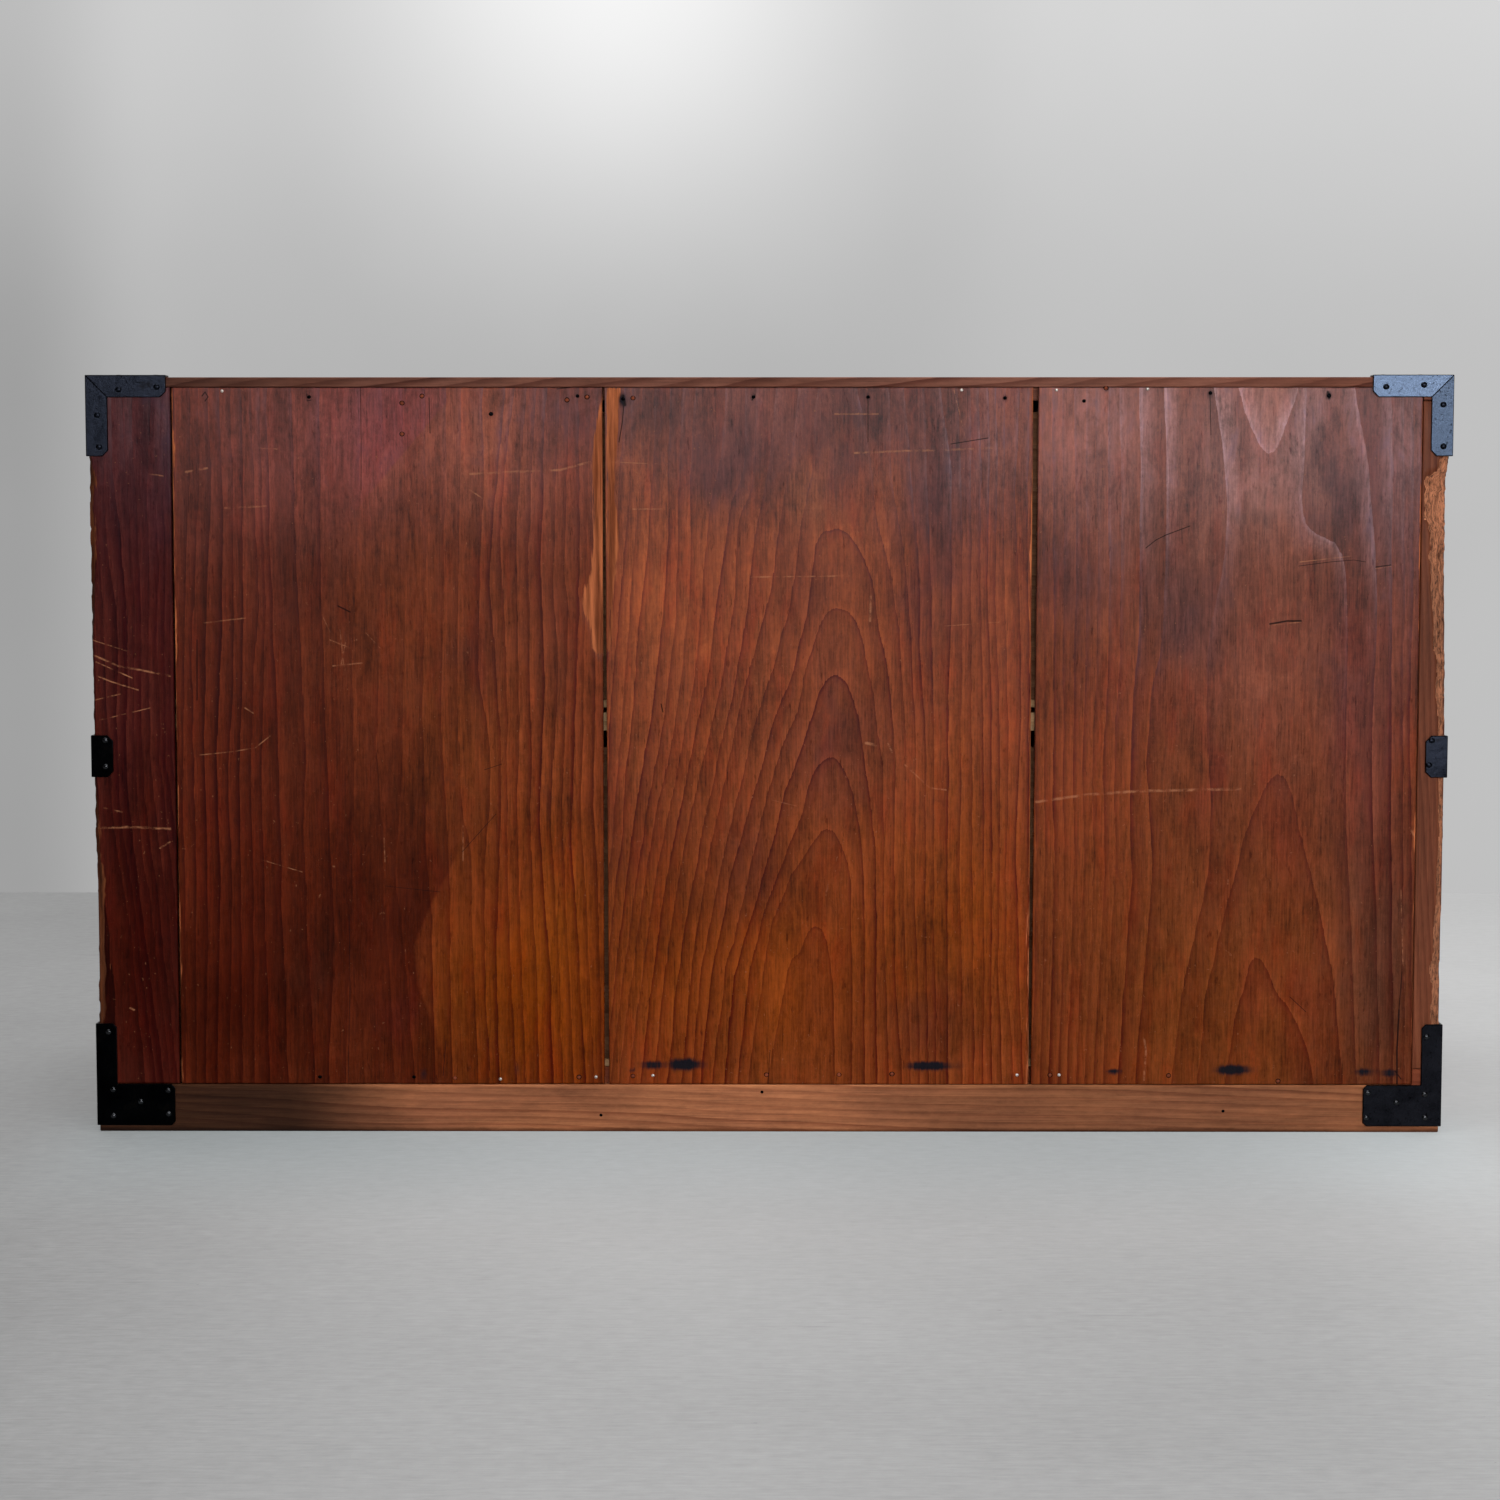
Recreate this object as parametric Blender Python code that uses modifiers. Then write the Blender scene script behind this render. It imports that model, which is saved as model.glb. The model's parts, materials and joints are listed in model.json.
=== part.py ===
# Kimono tansu: a low two-drawer clothing chest of stained cedar with iron straps.
# Metres, +Z up. The drawers open towards -Y, and the nailed back boards face +Y.
# The origin is on the floor, under the middle of the whole chest with its handles.

from math import cos, pi, radians, sin

import bmesh
import bpy
from mathutils import Matrix, Vector

# Carcass
WIDTH = 1.060
DEPTH = 0.424
HEIGHT = 0.594
SIDE_THICKNESS = 0.0214
TOP_THICKNESS = 0.018
FINGERS_PER_END = 9
FIT = 0.0003

# Base frame and floor of the carcass
BASE_RAIL_HEIGHT = 0.0505
BASE_RAIL_DEPTH = 0.032
FLOOR_THICKNESS = 0.012
FLOOR_LEDGE = 0.012

# Frame between the two drawers
MIDDLE_RAIL_UNDERSIDE = 0.318
MIDDLE_RAIL_HEIGHT = 0.018
MIDDLE_RAIL_DEPTH = 0.046
MIDDLE_TENON_LENGTH = 0.009
MIDDLE_TENON_HEIGHT = 0.010
REAR_RAIL_HEIGHT = 0.0142
REAR_RAIL_DEPTH = 0.030
RUNNER_WIDTH = 0.032

# Back boards, let into rebates of the top board and of the rear base rail
BACK_THICKNESS = 0.008
TOP_REBATE = 0.0104
BASE_REBATE = 0.0128
STRIP_WIDTH = 0.0636
LEFT_BOARD_WIDTH = 0.3353
CENTRE_BOARD_WIDTH = 0.3315
STRIP_GAP = 0.0014
LEFT_GAP_TOP = 0.0019
LEFT_GAP_BOTTOM = 0.0037
RIGHT_GAP_TOP = 0.0044
RIGHT_GAP_BOTTOM = 0.0020

# Iron straps
STRAP_THICKNESS = 0.0015
CORNER_ARM_LENGTH = 0.0612
CORNER_ARM_WIDTH = 0.0155
CORNER_CHAMFER = 0.0045
FOOT_PLATE_UNDERSIDE = 0.005
FOOT_PLATE_HEIGHT = 0.033
FOOT_PLATE_LENGTH = 0.0603
FOOT_ARM_WIDTH = 0.0148
FOOT_ARM_TOP = 0.0865
FOOT_CHAMFER = 0.003
CLIP_MIDDLE_HEIGHT = 0.2984
CLIP_HEIGHT = 0.033
CLIP_WIDTH = 0.0156
CLIP_SIDE_LENGTH = 0.045
TEE_ARM_LENGTH = 0.060
TEE_ARM_HEIGHT = 0.015

# Drawers
DRAWER_SIDE_GAP = 0.0012
DRAWER_TOP_GAP = 0.0012
DRAWER_BACK_GAP = 0.0010
DRAWER_RUNNING_GAP = 0.0003
DRAWER_RECESS = 0.0010
FRONT_THICKNESS = 0.020
FRONT_LAP = 0.012
BOX_THICKNESS = 0.011
BOTTOM_THICKNESS = 0.006
SIDE_DROP = 0.0045
UPPER_BACK_DROP = 0.0075
LOWER_BACK_DROP = 0.0120
FRONT_ARRIS = 0.0012

# Drop handles
HANDLE_OFFSET = 0.265
HANDLE_BELOW_TOP = 0.098
HANDLE_SPAN = 0.092
HANDLE_STANDOFF = 0.017
HANDLE_DROP = 0.040
BAIL_PIN_RADIUS = 0.0030
BAIL_GRIP_RADIUS = 0.0046
BAIL_KNOB_RADIUS = 0.0047
BAIL_KNOB_LENGTH = 0.007
BAIL_ELBOW = 0.0065
PIVOT_CLEARANCE = 0.0003
POST_HEAD_RADIUS = 0.0070
POST_NECK_RADIUS = 0.0046
POST_SHANK_RADIUS = 0.0030
ROSETTE_RADIUS = 0.0125
ROSETTE_THICKNESS = 0.0030
CLENCH_RADIUS = 0.0065
CLENCH_THICKNESS = 0.0016
SHANK_CLEARANCE = 0.0003

# Drawer locks
LOCK_BELOW_TOP = 0.046
LOCK_PLATE_RADIUS = 0.032
LOCK_PLATE_THICKNESS = 0.0018
LOCK_PLATE_RIM = 0.0008
KEYHOLE_RADIUS = 0.0026
KEYHOLE_SLOT_WIDTH = 0.0032
KEYHOLE_SLOT_LENGTH = 0.0095
CASE_WIDTH = 0.056
CASE_HEIGHT = 0.064
CASE_DEPTH = 0.012
CASE_WALL = 0.0016
CASE_BELOW_TOP = 0.002
BOLT_WIDTH = 0.018
BOLT_FOOT_WIDTH = 0.034
BOLT_FOOT_HEIGHT = 0.010
BOLT_THICKNESS = 0.005
BOLT_THROW = 0.009
BOLT_CLEARANCE = 0.0003
STRIKE_CLEARANCE = 0.0012

# Places that follow from the sizes above
FRONT_REACH = HANDLE_STANDOFF + POST_HEAD_RADIUS - DRAWER_RECESS
REAR_REACH = FIT + STRAP_THICKNESS
MIDDLE_Y = (FRONT_REACH - REAR_REACH) / 2
FRONT_Y = MIDDLE_Y - DEPTH / 2
REAR_Y = MIDDLE_Y + DEPTH / 2
BACK_INNER_Y = REAR_Y - BACK_THICKNESS
HALF_WIDTH = WIDTH / 2
HALF_OPENING = HALF_WIDTH - SIDE_THICKNESS
TOP_UNDERSIDE = HEIGHT - TOP_THICKNESS
MIDDLE_RAIL_TOP = MIDDLE_RAIL_UNDERSIDE + MIDDLE_RAIL_HEIGHT
DRAWER_FACE_Y = FRONT_Y + DRAWER_RECESS
DRAWER_INNER_FACE_Y = DRAWER_FACE_Y + FRONT_THICKNESS
DRAWER_REAR_Y = BACK_INNER_Y - DRAWER_BACK_GAP
PIVOT_Y = DRAWER_FACE_Y - HANDLE_STANDOFF
CASE_INNER_Y = DRAWER_INNER_FACE_Y + FIT + CASE_DEPTH
BOLT_Y = CASE_INNER_Y - CASE_WALL - BOLT_CLEARANCE - BOLT_THICKNESS / 2
OVERCUT = 0.004

# For each drawing plane, the rotation that stands a flat outline up in it
PLANES = {
    "XY": Matrix(((1, 0, 0), (0, 1, 0), (0, 0, 1))),
    "XZ": Matrix(((1, 0, 0), (0, 0, -1), (0, 1, 0))),
    "YZ": Matrix(((0, 0, 1), (1, 0, 0), (0, 1, 0))),
}
NORMALS = {"XY": Vector((0, 0, 1)), "XZ": Vector((0, 1, 0)), "YZ": Vector((1, 0, 0))}


def clear_scene():
    for obj in list(bpy.data.objects):
        bpy.data.objects.remove(obj)


def new_collection(name):
    collection = bpy.data.collections.new(name)
    bpy.context.scene.collection.children.link(collection)
    return collection


def new_material(name, colour, roughness, metallic=0.0):
    material = bpy.data.materials.new(name)
    material.use_nodes = True
    shader = material.node_tree.nodes["Principled BSDF"]
    shader.inputs["Base Color"].default_value = (*colour, 1.0)
    shader.inputs["Roughness"].default_value = roughness
    shader.inputs["Metallic"].default_value = metallic
    return material


def place(obj, name, collection, material=None, parent=None):
    # Names an object, moves it to its collection and hangs it on its parent where it stands.
    obj.name = name
    for other in list(obj.users_collection):
        other.objects.unlink(obj)
    collection.objects.link(obj)
    if material:
        obj.data.materials.clear()
        obj.data.materials.append(material)
    if parent:
        obj.parent = parent
        obj.matrix_parent_inverse = parent.matrix_world.inverted()
    return obj


def part(obj, name, material, parent=None):
    return place(obj, name, parts, material, parent)


def cutter(obj, name):
    obj.hide_render = True
    obj.display_type = "WIRE"
    return place(obj, name, cutters)


def box(low, high):
    low, high = Vector(low), Vector(high)
    bpy.ops.mesh.primitive_cube_add(size=1.0, location=(low + high) / 2)
    obj = bpy.context.object
    obj.scale = high - low
    bpy.ops.object.transform_apply(location=False, rotation=False, scale=True)
    return obj


def rod(radius, low, high, axis, sides=16):
    # A cylinder along one axis, from the point low to the point high.
    low, high = Vector(low), Vector(high)
    turn = {"X": (0, pi / 2, 0), "Y": (pi / 2, 0, 0), "Z": (0, 0, 0)}[axis]
    bpy.ops.mesh.primitive_cylinder_add(
        vertices=sides, radius=radius, depth=(high - low).length, location=(low + high) / 2, rotation=turn
    )
    return bpy.context.object


def mesh_from(obj):
    # The evaluated shape of a helper object as a clean mesh. The helper is removed.
    bpy.context.view_layer.update()
    evaluated = obj.evaluated_get(bpy.context.evaluated_depsgraph_get())
    mesh = bpy.data.meshes.new_from_object(evaluated)
    shape = bmesh.new()
    shape.from_mesh(mesh)
    bmesh.ops.remove_doubles(shape, verts=shape.verts, dist=1e-6)
    bmesh.ops.recalc_face_normals(shape, faces=shape.faces)
    shape.to_mesh(mesh)
    shape.free()
    bpy.data.objects.remove(obj)
    return mesh


def solid_outline(points, plane, low, high):
    # A flat outline drawn in a plane, as a solid that runs from low to high across it.
    flat = bpy.data.meshes.new("outline")
    flat.from_pydata([(u, v, 0) for u, v in points], [], [range(len(points))])
    drawn = bpy.data.objects.new("outline", flat)
    bpy.context.scene.collection.objects.link(drawn)
    solidify = drawn.modifiers.new("thickness", "SOLIDIFY")
    solidify.thickness = high - low
    solidify.offset = 0
    obj = bpy.data.objects.new("outline", mesh_from(drawn))
    obj.matrix_world = Matrix.Translation(NORMALS[plane] * (low + high) / 2) @ PLANES[plane].to_4x4()
    bpy.context.scene.collection.objects.link(obj)
    return obj


def boolean(obj, other, operation="DIFFERENCE"):
    modifier = obj.modifiers.new(operation.lower(), "BOOLEAN")
    modifier.operation = operation
    modifier.solver = "EXACT"
    modifier.object = other


def cut_box(obj, name, low, high):
    boolean(obj, cutter(box(low, high), name))


def bevel(obj, width, segments=1):
    modifier = obj.modifiers.new("arris", "BEVEL")
    modifier.width = width
    modifier.segments = segments
    modifier.limit_method = "ANGLE"
    modifier.angle_limit = radians(40)


def finger_edges(held_by_top):
    # Front and rear edge of each finger of the corner joint that the top or the side board holds.
    pitch = DEPTH / FINGERS_PER_END
    first = 0 if held_by_top else 1
    return [(FRONT_Y + k * pitch, FRONT_Y + (k + 1) * pitch) for k in range(first, FINGERS_PER_END, 2)]


def top_board():
    # Fingers at both ends interlock with the side boards.
    shoulder = HALF_OPENING - FIT
    left_end = []
    for low, high in finger_edges(held_by_top=True):
        front = low if low == FRONT_Y else low + FIT / 2
        rear = high if high > REAR_Y - FIT else high - FIT / 2
        left_end += [(shoulder, front), (HALF_WIDTH, front), (HALF_WIDTH, rear), (shoulder, rear)]
    right_end = [(-x, y) for x, y in reversed(left_end)]
    board = solid_outline(left_end + right_end, "XY", TOP_UNDERSIDE, HEIGHT)
    part(board, "top_board", cedar)
    cut_box(
        board,
        "top_rebate_cutter",
        (-HALF_OPENING, BACK_INNER_Y - FIT, TOP_UNDERSIDE - OVERCUT),
        (HALF_WIDTH + OVERCUT, REAR_Y + OVERCUT, TOP_UNDERSIDE + TOP_REBATE),
    )
    strike(board, "upper_strike_cutter", TOP_UNDERSIDE)


def side_board(name, sign, rear_y):
    # A side board stands over both base rails and rises in fingers through the top board.
    shoulder = TOP_UNDERSIDE - FIT
    rail_top = BASE_RAIL_HEIGHT + FIT
    front_foot = FRONT_Y + BASE_RAIL_DEPTH + FIT
    rear_foot = REAR_Y - BASE_RAIL_DEPTH - FIT
    points = [(front_foot, 0), (rear_foot, 0), (rear_foot, rail_top), (rear_y, rail_top), (rear_y, shoulder)]
    for low, high in reversed(finger_edges(held_by_top=False)):
        front = low + FIT / 2
        rear = high - FIT / 2
        points += [(rear, shoulder), (rear, HEIGHT), (front, HEIGHT), (front, shoulder)]
    points += [(FRONT_Y, shoulder), (FRONT_Y, rail_top), (front_foot, rail_top)]
    faces = sorted((sign * HALF_OPENING, sign * HALF_WIDTH))
    board = solid_outline(points, "YZ", *faces)
    part(board, name, cedar)
    middle = MIDDLE_RAIL_UNDERSIDE + MIDDLE_RAIL_HEIGHT / 2
    reach = sorted((sign * (HALF_OPENING - OVERCUT), sign * (HALF_OPENING + MIDDLE_TENON_LENGTH + FIT)))
    cut_box(
        board,
        name + "_mortise_cutter",
        (reach[0], FRONT_Y - OVERCUT, middle - MIDDLE_TENON_HEIGHT / 2 - FIT),
        (reach[1], FRONT_Y + MIDDLE_RAIL_DEPTH + FIT, middle + MIDDLE_TENON_HEIGHT / 2 + FIT),
    )


def base_rails():
    # Both rails run the full width under the side boards, and their inner ledges carry the floor board.
    floor_z = BASE_RAIL_HEIGHT - FLOOR_THICKNESS - FIT
    over = HALF_WIDTH + OVERCUT
    front = box((-HALF_WIDTH, FRONT_Y, 0), (HALF_WIDTH, FRONT_Y + BASE_RAIL_DEPTH, BASE_RAIL_HEIGHT))
    part(front, "front_base_rail", cedar)
    front_ledge = FRONT_Y + BASE_RAIL_DEPTH - FLOOR_LEDGE
    cut_box(
        front,
        "front_ledge_cutter",
        (-HALF_OPENING, front_ledge, floor_z),
        (HALF_OPENING, front_ledge + FLOOR_LEDGE + OVERCUT, BASE_RAIL_HEIGHT + OVERCUT),
    )
    rear = box((-HALF_WIDTH, REAR_Y - BASE_RAIL_DEPTH, 0), (HALF_WIDTH, REAR_Y, BASE_RAIL_HEIGHT))
    part(rear, "rear_base_rail", cedar)
    rear_ledge = REAR_Y - BASE_RAIL_DEPTH + FLOOR_LEDGE
    cut_box(
        rear,
        "rear_ledge_cutter",
        (-HALF_OPENING, rear_ledge - FLOOR_LEDGE - OVERCUT, floor_z),
        (HALF_OPENING, rear_ledge, BASE_RAIL_HEIGHT + OVERCUT),
    )
    cut_box(
        rear,
        "base_rebate_cutter",
        (-HALF_OPENING, BACK_INNER_Y - FIT, BASE_RAIL_HEIGHT - BASE_REBATE),
        (over, REAR_Y + OVERCUT, BASE_RAIL_HEIGHT + OVERCUT),
    )
    floor = box(
        (-HALF_OPENING + FIT, front_ledge + FIT, floor_z + FIT),
        (HALF_OPENING - FIT, rear_ledge - FIT, BASE_RAIL_HEIGHT),
    )
    part(floor, "floor_board", cedar)


def middle_frame():
    # The front rail is tenoned into the side boards, and the rear rail laps under both runners.
    middle = MIDDLE_RAIL_UNDERSIDE + MIDDLE_RAIL_HEIGHT / 2
    shoulder = HALF_OPENING - FIT
    tenon_end = HALF_OPENING + MIDDLE_TENON_LENGTH
    tenon_low = middle - MIDDLE_TENON_HEIGHT / 2
    tenon_high = middle + MIDDLE_TENON_HEIGHT / 2
    right_end = [
        (shoulder, MIDDLE_RAIL_UNDERSIDE),
        (shoulder, tenon_low),
        (tenon_end, tenon_low),
        (tenon_end, tenon_high),
        (shoulder, tenon_high),
        (shoulder, MIDDLE_RAIL_TOP),
    ]
    left_end = [(-x, z) for x, z in reversed(right_end)]
    rail_rear = FRONT_Y + MIDDLE_RAIL_DEPTH
    front = solid_outline(right_end + left_end, "XZ", FRONT_Y, rail_rear)
    part(front, "front_middle_rail", cedar)
    strike(front, "lower_strike_cutter", MIDDLE_RAIL_UNDERSIDE)

    rear_top = MIDDLE_RAIL_UNDERSIDE + REAR_RAIL_HEIGHT
    rear_front = BACK_INNER_Y - FIT - REAR_RAIL_DEPTH
    rear = box(
        (-HALF_OPENING + FIT, rear_front, MIDDLE_RAIL_UNDERSIDE), (HALF_OPENING - FIT, BACK_INNER_Y - FIT, rear_top)
    )
    part(rear, "rear_middle_rail", pale_wood)
    lapped = [
        (rail_rear + FIT, MIDDLE_RAIL_UNDERSIDE),
        (rear_front - FIT, MIDDLE_RAIL_UNDERSIDE),
        (rear_front - FIT, rear_top + FIT),
        (BACK_INNER_Y - FIT, rear_top + FIT),
        (BACK_INNER_Y - FIT, MIDDLE_RAIL_TOP),
        (rail_rear + FIT, MIDDLE_RAIL_TOP),
    ]
    for name, sign in (("runner_left", 1), ("runner_right", -1)):
        faces = sorted((sign * (HALF_OPENING - FIT), sign * (HALF_OPENING - RUNNER_WIDTH)))
        part(solid_outline(lapped, "YZ", *faces), name, pale_wood)


def back_boards():
    # Four upright boards with shrinkage gaps. The strip laps over the edge of the left side board.
    low = BASE_RAIL_HEIGHT - BASE_REBATE + FIT
    high = TOP_UNDERSIDE + TOP_REBATE - FIT
    strip_edge = HALF_WIDTH - STRIP_WIDTH
    left_edge = strip_edge - STRIP_GAP
    left_end = left_edge - LEFT_BOARD_WIDTH
    centre_end = left_end - LEFT_GAP_BOTTOM - CENTRE_BOARD_WIDTH
    right_end = -HALF_OPENING + FIT
    edges = {
        "back_strip": (HALF_WIDTH, HALF_WIDTH, strip_edge, strip_edge),
        "back_board_left": (left_edge, left_edge, left_end, left_end),
        "back_board_centre": (left_end - LEFT_GAP_BOTTOM, left_end - LEFT_GAP_TOP, centre_end, centre_end),
        "back_board_right": (centre_end - RIGHT_GAP_BOTTOM, centre_end - RIGHT_GAP_TOP, right_end, right_end),
    }
    for name, (left_low, left_high, right_low, right_high) in edges.items():
        points = [(left_low, low), (left_high, high), (right_high, high), (right_low, low)]
        part(solid_outline(points, "XZ", BACK_INNER_Y, REAR_Y), name, cedar)


def strike(board, name, underside):
    # The mortise over a drawer that its lock bolt shoots into.
    half = BOLT_WIDTH / 2 + STRIKE_CLEARANCE
    reach = BOLT_THROW - CASE_BELOW_TOP - DRAWER_TOP_GAP + STRIKE_CLEARANCE
    cut_box(
        board,
        name,
        (-half, BOLT_Y - BOLT_THICKNESS / 2 - STRIKE_CLEARANCE, underside - OVERCUT),
        (half, BOLT_Y + BOLT_THICKNESS / 2 + STRIKE_CLEARANCE, underside + reach),
    )


def corner_outline(length, width, chamfer):
    # An L of two arms that meet at the outer corner, with the inner corners of their ends cut off.
    return [
        (FIT, FIT),
        (-length, FIT),
        (-length, chamfer - width),
        (chamfer - length, -width),
        (-width, -width),
        (-width, chamfer - length),
        (chamfer - width, -length),
        (FIT, -length),
    ]


def foot_outline():
    top = FOOT_PLATE_UNDERSIDE + FOOT_PLATE_HEIGHT
    end = FOOT_PLATE_LENGTH
    return [
        (FIT, FOOT_PLATE_UNDERSIDE),
        (FIT, FOOT_ARM_TOP),
        (FOOT_CHAMFER - FOOT_ARM_WIDTH, FOOT_ARM_TOP),
        (-FOOT_ARM_WIDTH, FOOT_ARM_TOP - FOOT_CHAMFER),
        (-FOOT_ARM_WIDTH, top),
        (FOOT_CHAMFER - end, top),
        (-end, top - FOOT_CHAMFER),
        (-end, FOOT_PLATE_UNDERSIDE + FOOT_CHAMFER),
        (FOOT_CHAMFER - end, FOOT_PLATE_UNDERSIDE),
    ]


def clip_outline(length, middle):
    low = middle - CLIP_HEIGHT / 2
    high = middle + CLIP_HEIGHT / 2
    return [
        (FIT, low),
        (FIT, high),
        (CORNER_CHAMFER - length, high),
        (-length, high - CORNER_CHAMFER),
        (-length, low + CORNER_CHAMFER),
        (CORNER_CHAMFER - length, low),
    ]


def tee_outline(middle):
    # The front clip has an arm that runs along the rail between the drawers.
    low = middle - CLIP_HEIGHT / 2
    high = middle + CLIP_HEIGHT / 2
    arm_low = middle - TEE_ARM_HEIGHT / 2
    arm_high = middle + TEE_ARM_HEIGHT / 2
    stem = CLIP_WIDTH
    end = TEE_ARM_LENGTH
    return [
        (FIT, low),
        (FIT, high),
        (CORNER_CHAMFER - stem, high),
        (-stem, high - CORNER_CHAMFER),
        (-stem, arm_high),
        (CORNER_CHAMFER - end, arm_high),
        (-end, arm_high - CORNER_CHAMFER),
        (-end, arm_low + CORNER_CHAMFER),
        (CORNER_CHAMFER - end, arm_low),
        (-stem, arm_low),
        (-stem, low + CORNER_CHAMFER),
        (CORNER_CHAMFER - stem, low),
    ]


def folded_strap(face, side, top=()):
    # One sheet folded round a corner of the chest, drawn for wood that fills negative X, Y and Z.
    flaps = [
        ([(x, FIT, z) for x, z in face], Vector((0, 1, 0))),
        ([(FIT, y, z) for y, z in side], Vector((1, 0, 0))),
        ([(x, y, FIT) for x, y in top], Vector((0, 0, 1))),
    ]
    shape = bmesh.new()
    for points, outwards in flaps:
        if not points:
            continue
        flap = shape.faces.new([shape.verts.new(point) for point in points])
        flap.normal_update()
        if flap.normal.dot(outwards) < 0:
            flap.normal_flip()
    bmesh.ops.remove_doubles(shape, verts=shape.verts, dist=1e-6)
    mesh = bpy.data.meshes.new("strap")
    shape.to_mesh(mesh)
    shape.free()
    sheet = bpy.data.objects.new("strap", mesh)
    bpy.context.scene.collection.objects.link(sheet)
    solidify = sheet.modifiers.new("thickness", "SOLIDIFY")
    solidify.thickness = STRAP_THICKNESS
    solidify.offset = 1
    solidify.use_even_offset = True
    return mesh_from(sheet)


def set_strap(name, mesh, right, front, z=0.0):
    # Puts a folded strap on one upright edge of the chest, turned over for the right and the front.
    shape = mesh.copy()
    mirror = Matrix.Diagonal((-1 if right else 1, -1 if front else 1, 1, 1))
    shape.transform(mirror)
    if right != front:
        shape.flip_normals()
    strap = bpy.data.objects.new(name, shape)
    strap.location = (-HALF_WIDTH if right else HALF_WIDTH, FRONT_Y if front else REAR_Y, z)
    bpy.context.scene.collection.objects.link(strap)
    part(strap, name, iron)


def iron_straps():
    corner = corner_outline(CORNER_ARM_LENGTH, CORNER_ARM_WIDTH, CORNER_CHAMFER)
    corner_mesh = folded_strap(corner, corner, corner)
    foot_mesh = folded_strap(foot_outline(), foot_outline())
    side_clip = clip_outline(CLIP_SIDE_LENGTH, CLIP_MIDDLE_HEIGHT)
    rear_clip_mesh = folded_strap(clip_outline(CLIP_WIDTH, CLIP_MIDDLE_HEIGHT), side_clip)
    rail_middle = MIDDLE_RAIL_UNDERSIDE + MIDDLE_RAIL_HEIGHT / 2
    front_clip_mesh = folded_strap(tee_outline(rail_middle), clip_outline(CLIP_SIDE_LENGTH, rail_middle))
    for front in (False, True):
        end = "front" if front else "rear"
        for right in (False, True):
            side = "right" if right else "left"
            set_strap(f"{end}_top_strap_{side}", corner_mesh, right, front, HEIGHT)
            set_strap(f"{end}_foot_strap_{side}", foot_mesh, right, front)
            clip = front_clip_mesh if front else rear_clip_mesh
            set_strap(f"{end}_clip_{side}", clip, right, front)
    for mesh in (corner_mesh, foot_mesh, rear_clip_mesh, front_clip_mesh):
        bpy.data.meshes.remove(mesh)


def drawer(name, low, ceiling, back_drop):
    # A lapped box with its bottom board nailed underneath. The whole box slides on that board.
    rig = bpy.data.objects.new(name, None)
    rig.location = (0, DRAWER_FACE_Y, low)
    parts.objects.link(rig)
    bpy.context.view_layer.update()
    top = ceiling - DRAWER_TOP_GAP
    half = HALF_OPENING - DRAWER_SIDE_GAP
    side_top = top - SIDE_DROP
    lap_y = DRAWER_INNER_FACE_Y - FRONT_LAP
    box_low = low + BOTTOM_THICKNESS + FIT

    front = box((-half, DRAWER_FACE_Y, low), (half, DRAWER_INNER_FACE_Y, top))
    part(front, name + "_front", front_cedar, rig)
    bevel(front, FRONT_ARRIS)
    for end, sign in (("left", 1), ("right", -1)):
        near, far = sorted((sign * (half - BOX_THICKNESS - FIT), sign * (half + OVERCUT)))
        cut_box(
            front,
            f"{name}_{end}_lap_cutter",
            (near, lap_y, low - OVERCUT),
            (far, DRAWER_INNER_FACE_Y + OVERCUT, side_top + FIT),
        )
    cut_box(
        front,
        name + "_bottom_lap_cutter",
        (-half - OVERCUT, lap_y, low - OVERCUT),
        (half + OVERCUT, DRAWER_INNER_FACE_Y + OVERCUT, box_low),
    )
    for end, sign in (("left", 1), ("right", -1)):
        inner, outer = sorted((sign * (half - BOX_THICKNESS), sign * half))
        side = box((inner, lap_y + FIT, box_low), (outer, DRAWER_REAR_Y, side_top))
        part(side, f"{name}_side_{end}", pale_wood, rig)
    inside = half - BOX_THICKNESS - FIT
    back = box((-inside, DRAWER_REAR_Y - BOX_THICKNESS, box_low), (inside, DRAWER_REAR_Y, top - back_drop))
    part(back, name + "_back", pale_wood, rig)
    bottom = box((-half, lap_y + FIT, low), (half, DRAWER_REAR_Y, low + BOTTOM_THICKNESS))
    part(bottom, name + "_bottom", pale_wood, rig)
    lock(name, front, top, rig)
    for end, sign in (("left", 1), ("right", -1)):
        handle(f"{name}_handle_{end}", front, sign * HANDLE_OFFSET, top - HANDLE_BELOW_TOP, rig)


def post_profile():
    # Half section of a handle post, from the tip of its head down to the clenched end of its shank.
    face = HANDLE_STANDOFF
    head = [(POST_HEAD_RADIUS * sin(a), -POST_HEAD_RADIUS * cos(a)) for a in (0, pi / 5, 2 * pi / 5, 3 * pi / 5)]
    clench = face - SHANK_CLEARANCE + FRONT_THICKNESS + 2 * SHANK_CLEARANCE
    rosette = face - SHANK_CLEARANCE
    return head + [
        (POST_NECK_RADIUS, POST_HEAD_RADIUS),
        (POST_NECK_RADIUS, rosette - ROSETTE_THICKNESS),
        (ROSETTE_RADIUS * 0.7, rosette - ROSETTE_THICKNESS * 0.8),
        (ROSETTE_RADIUS, rosette - ROSETTE_THICKNESS * 0.3),
        (ROSETTE_RADIUS, rosette),
        (POST_SHANK_RADIUS, rosette),
        (POST_SHANK_RADIUS, clench),
        (CLENCH_RADIUS, clench),
        (CLENCH_RADIUS, clench + CLENCH_THICKNESS / 2),
        (CLENCH_RADIUS / 2, clench + CLENCH_THICKNESS),
        (0, clench + CLENCH_THICKNESS),
    ]


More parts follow.
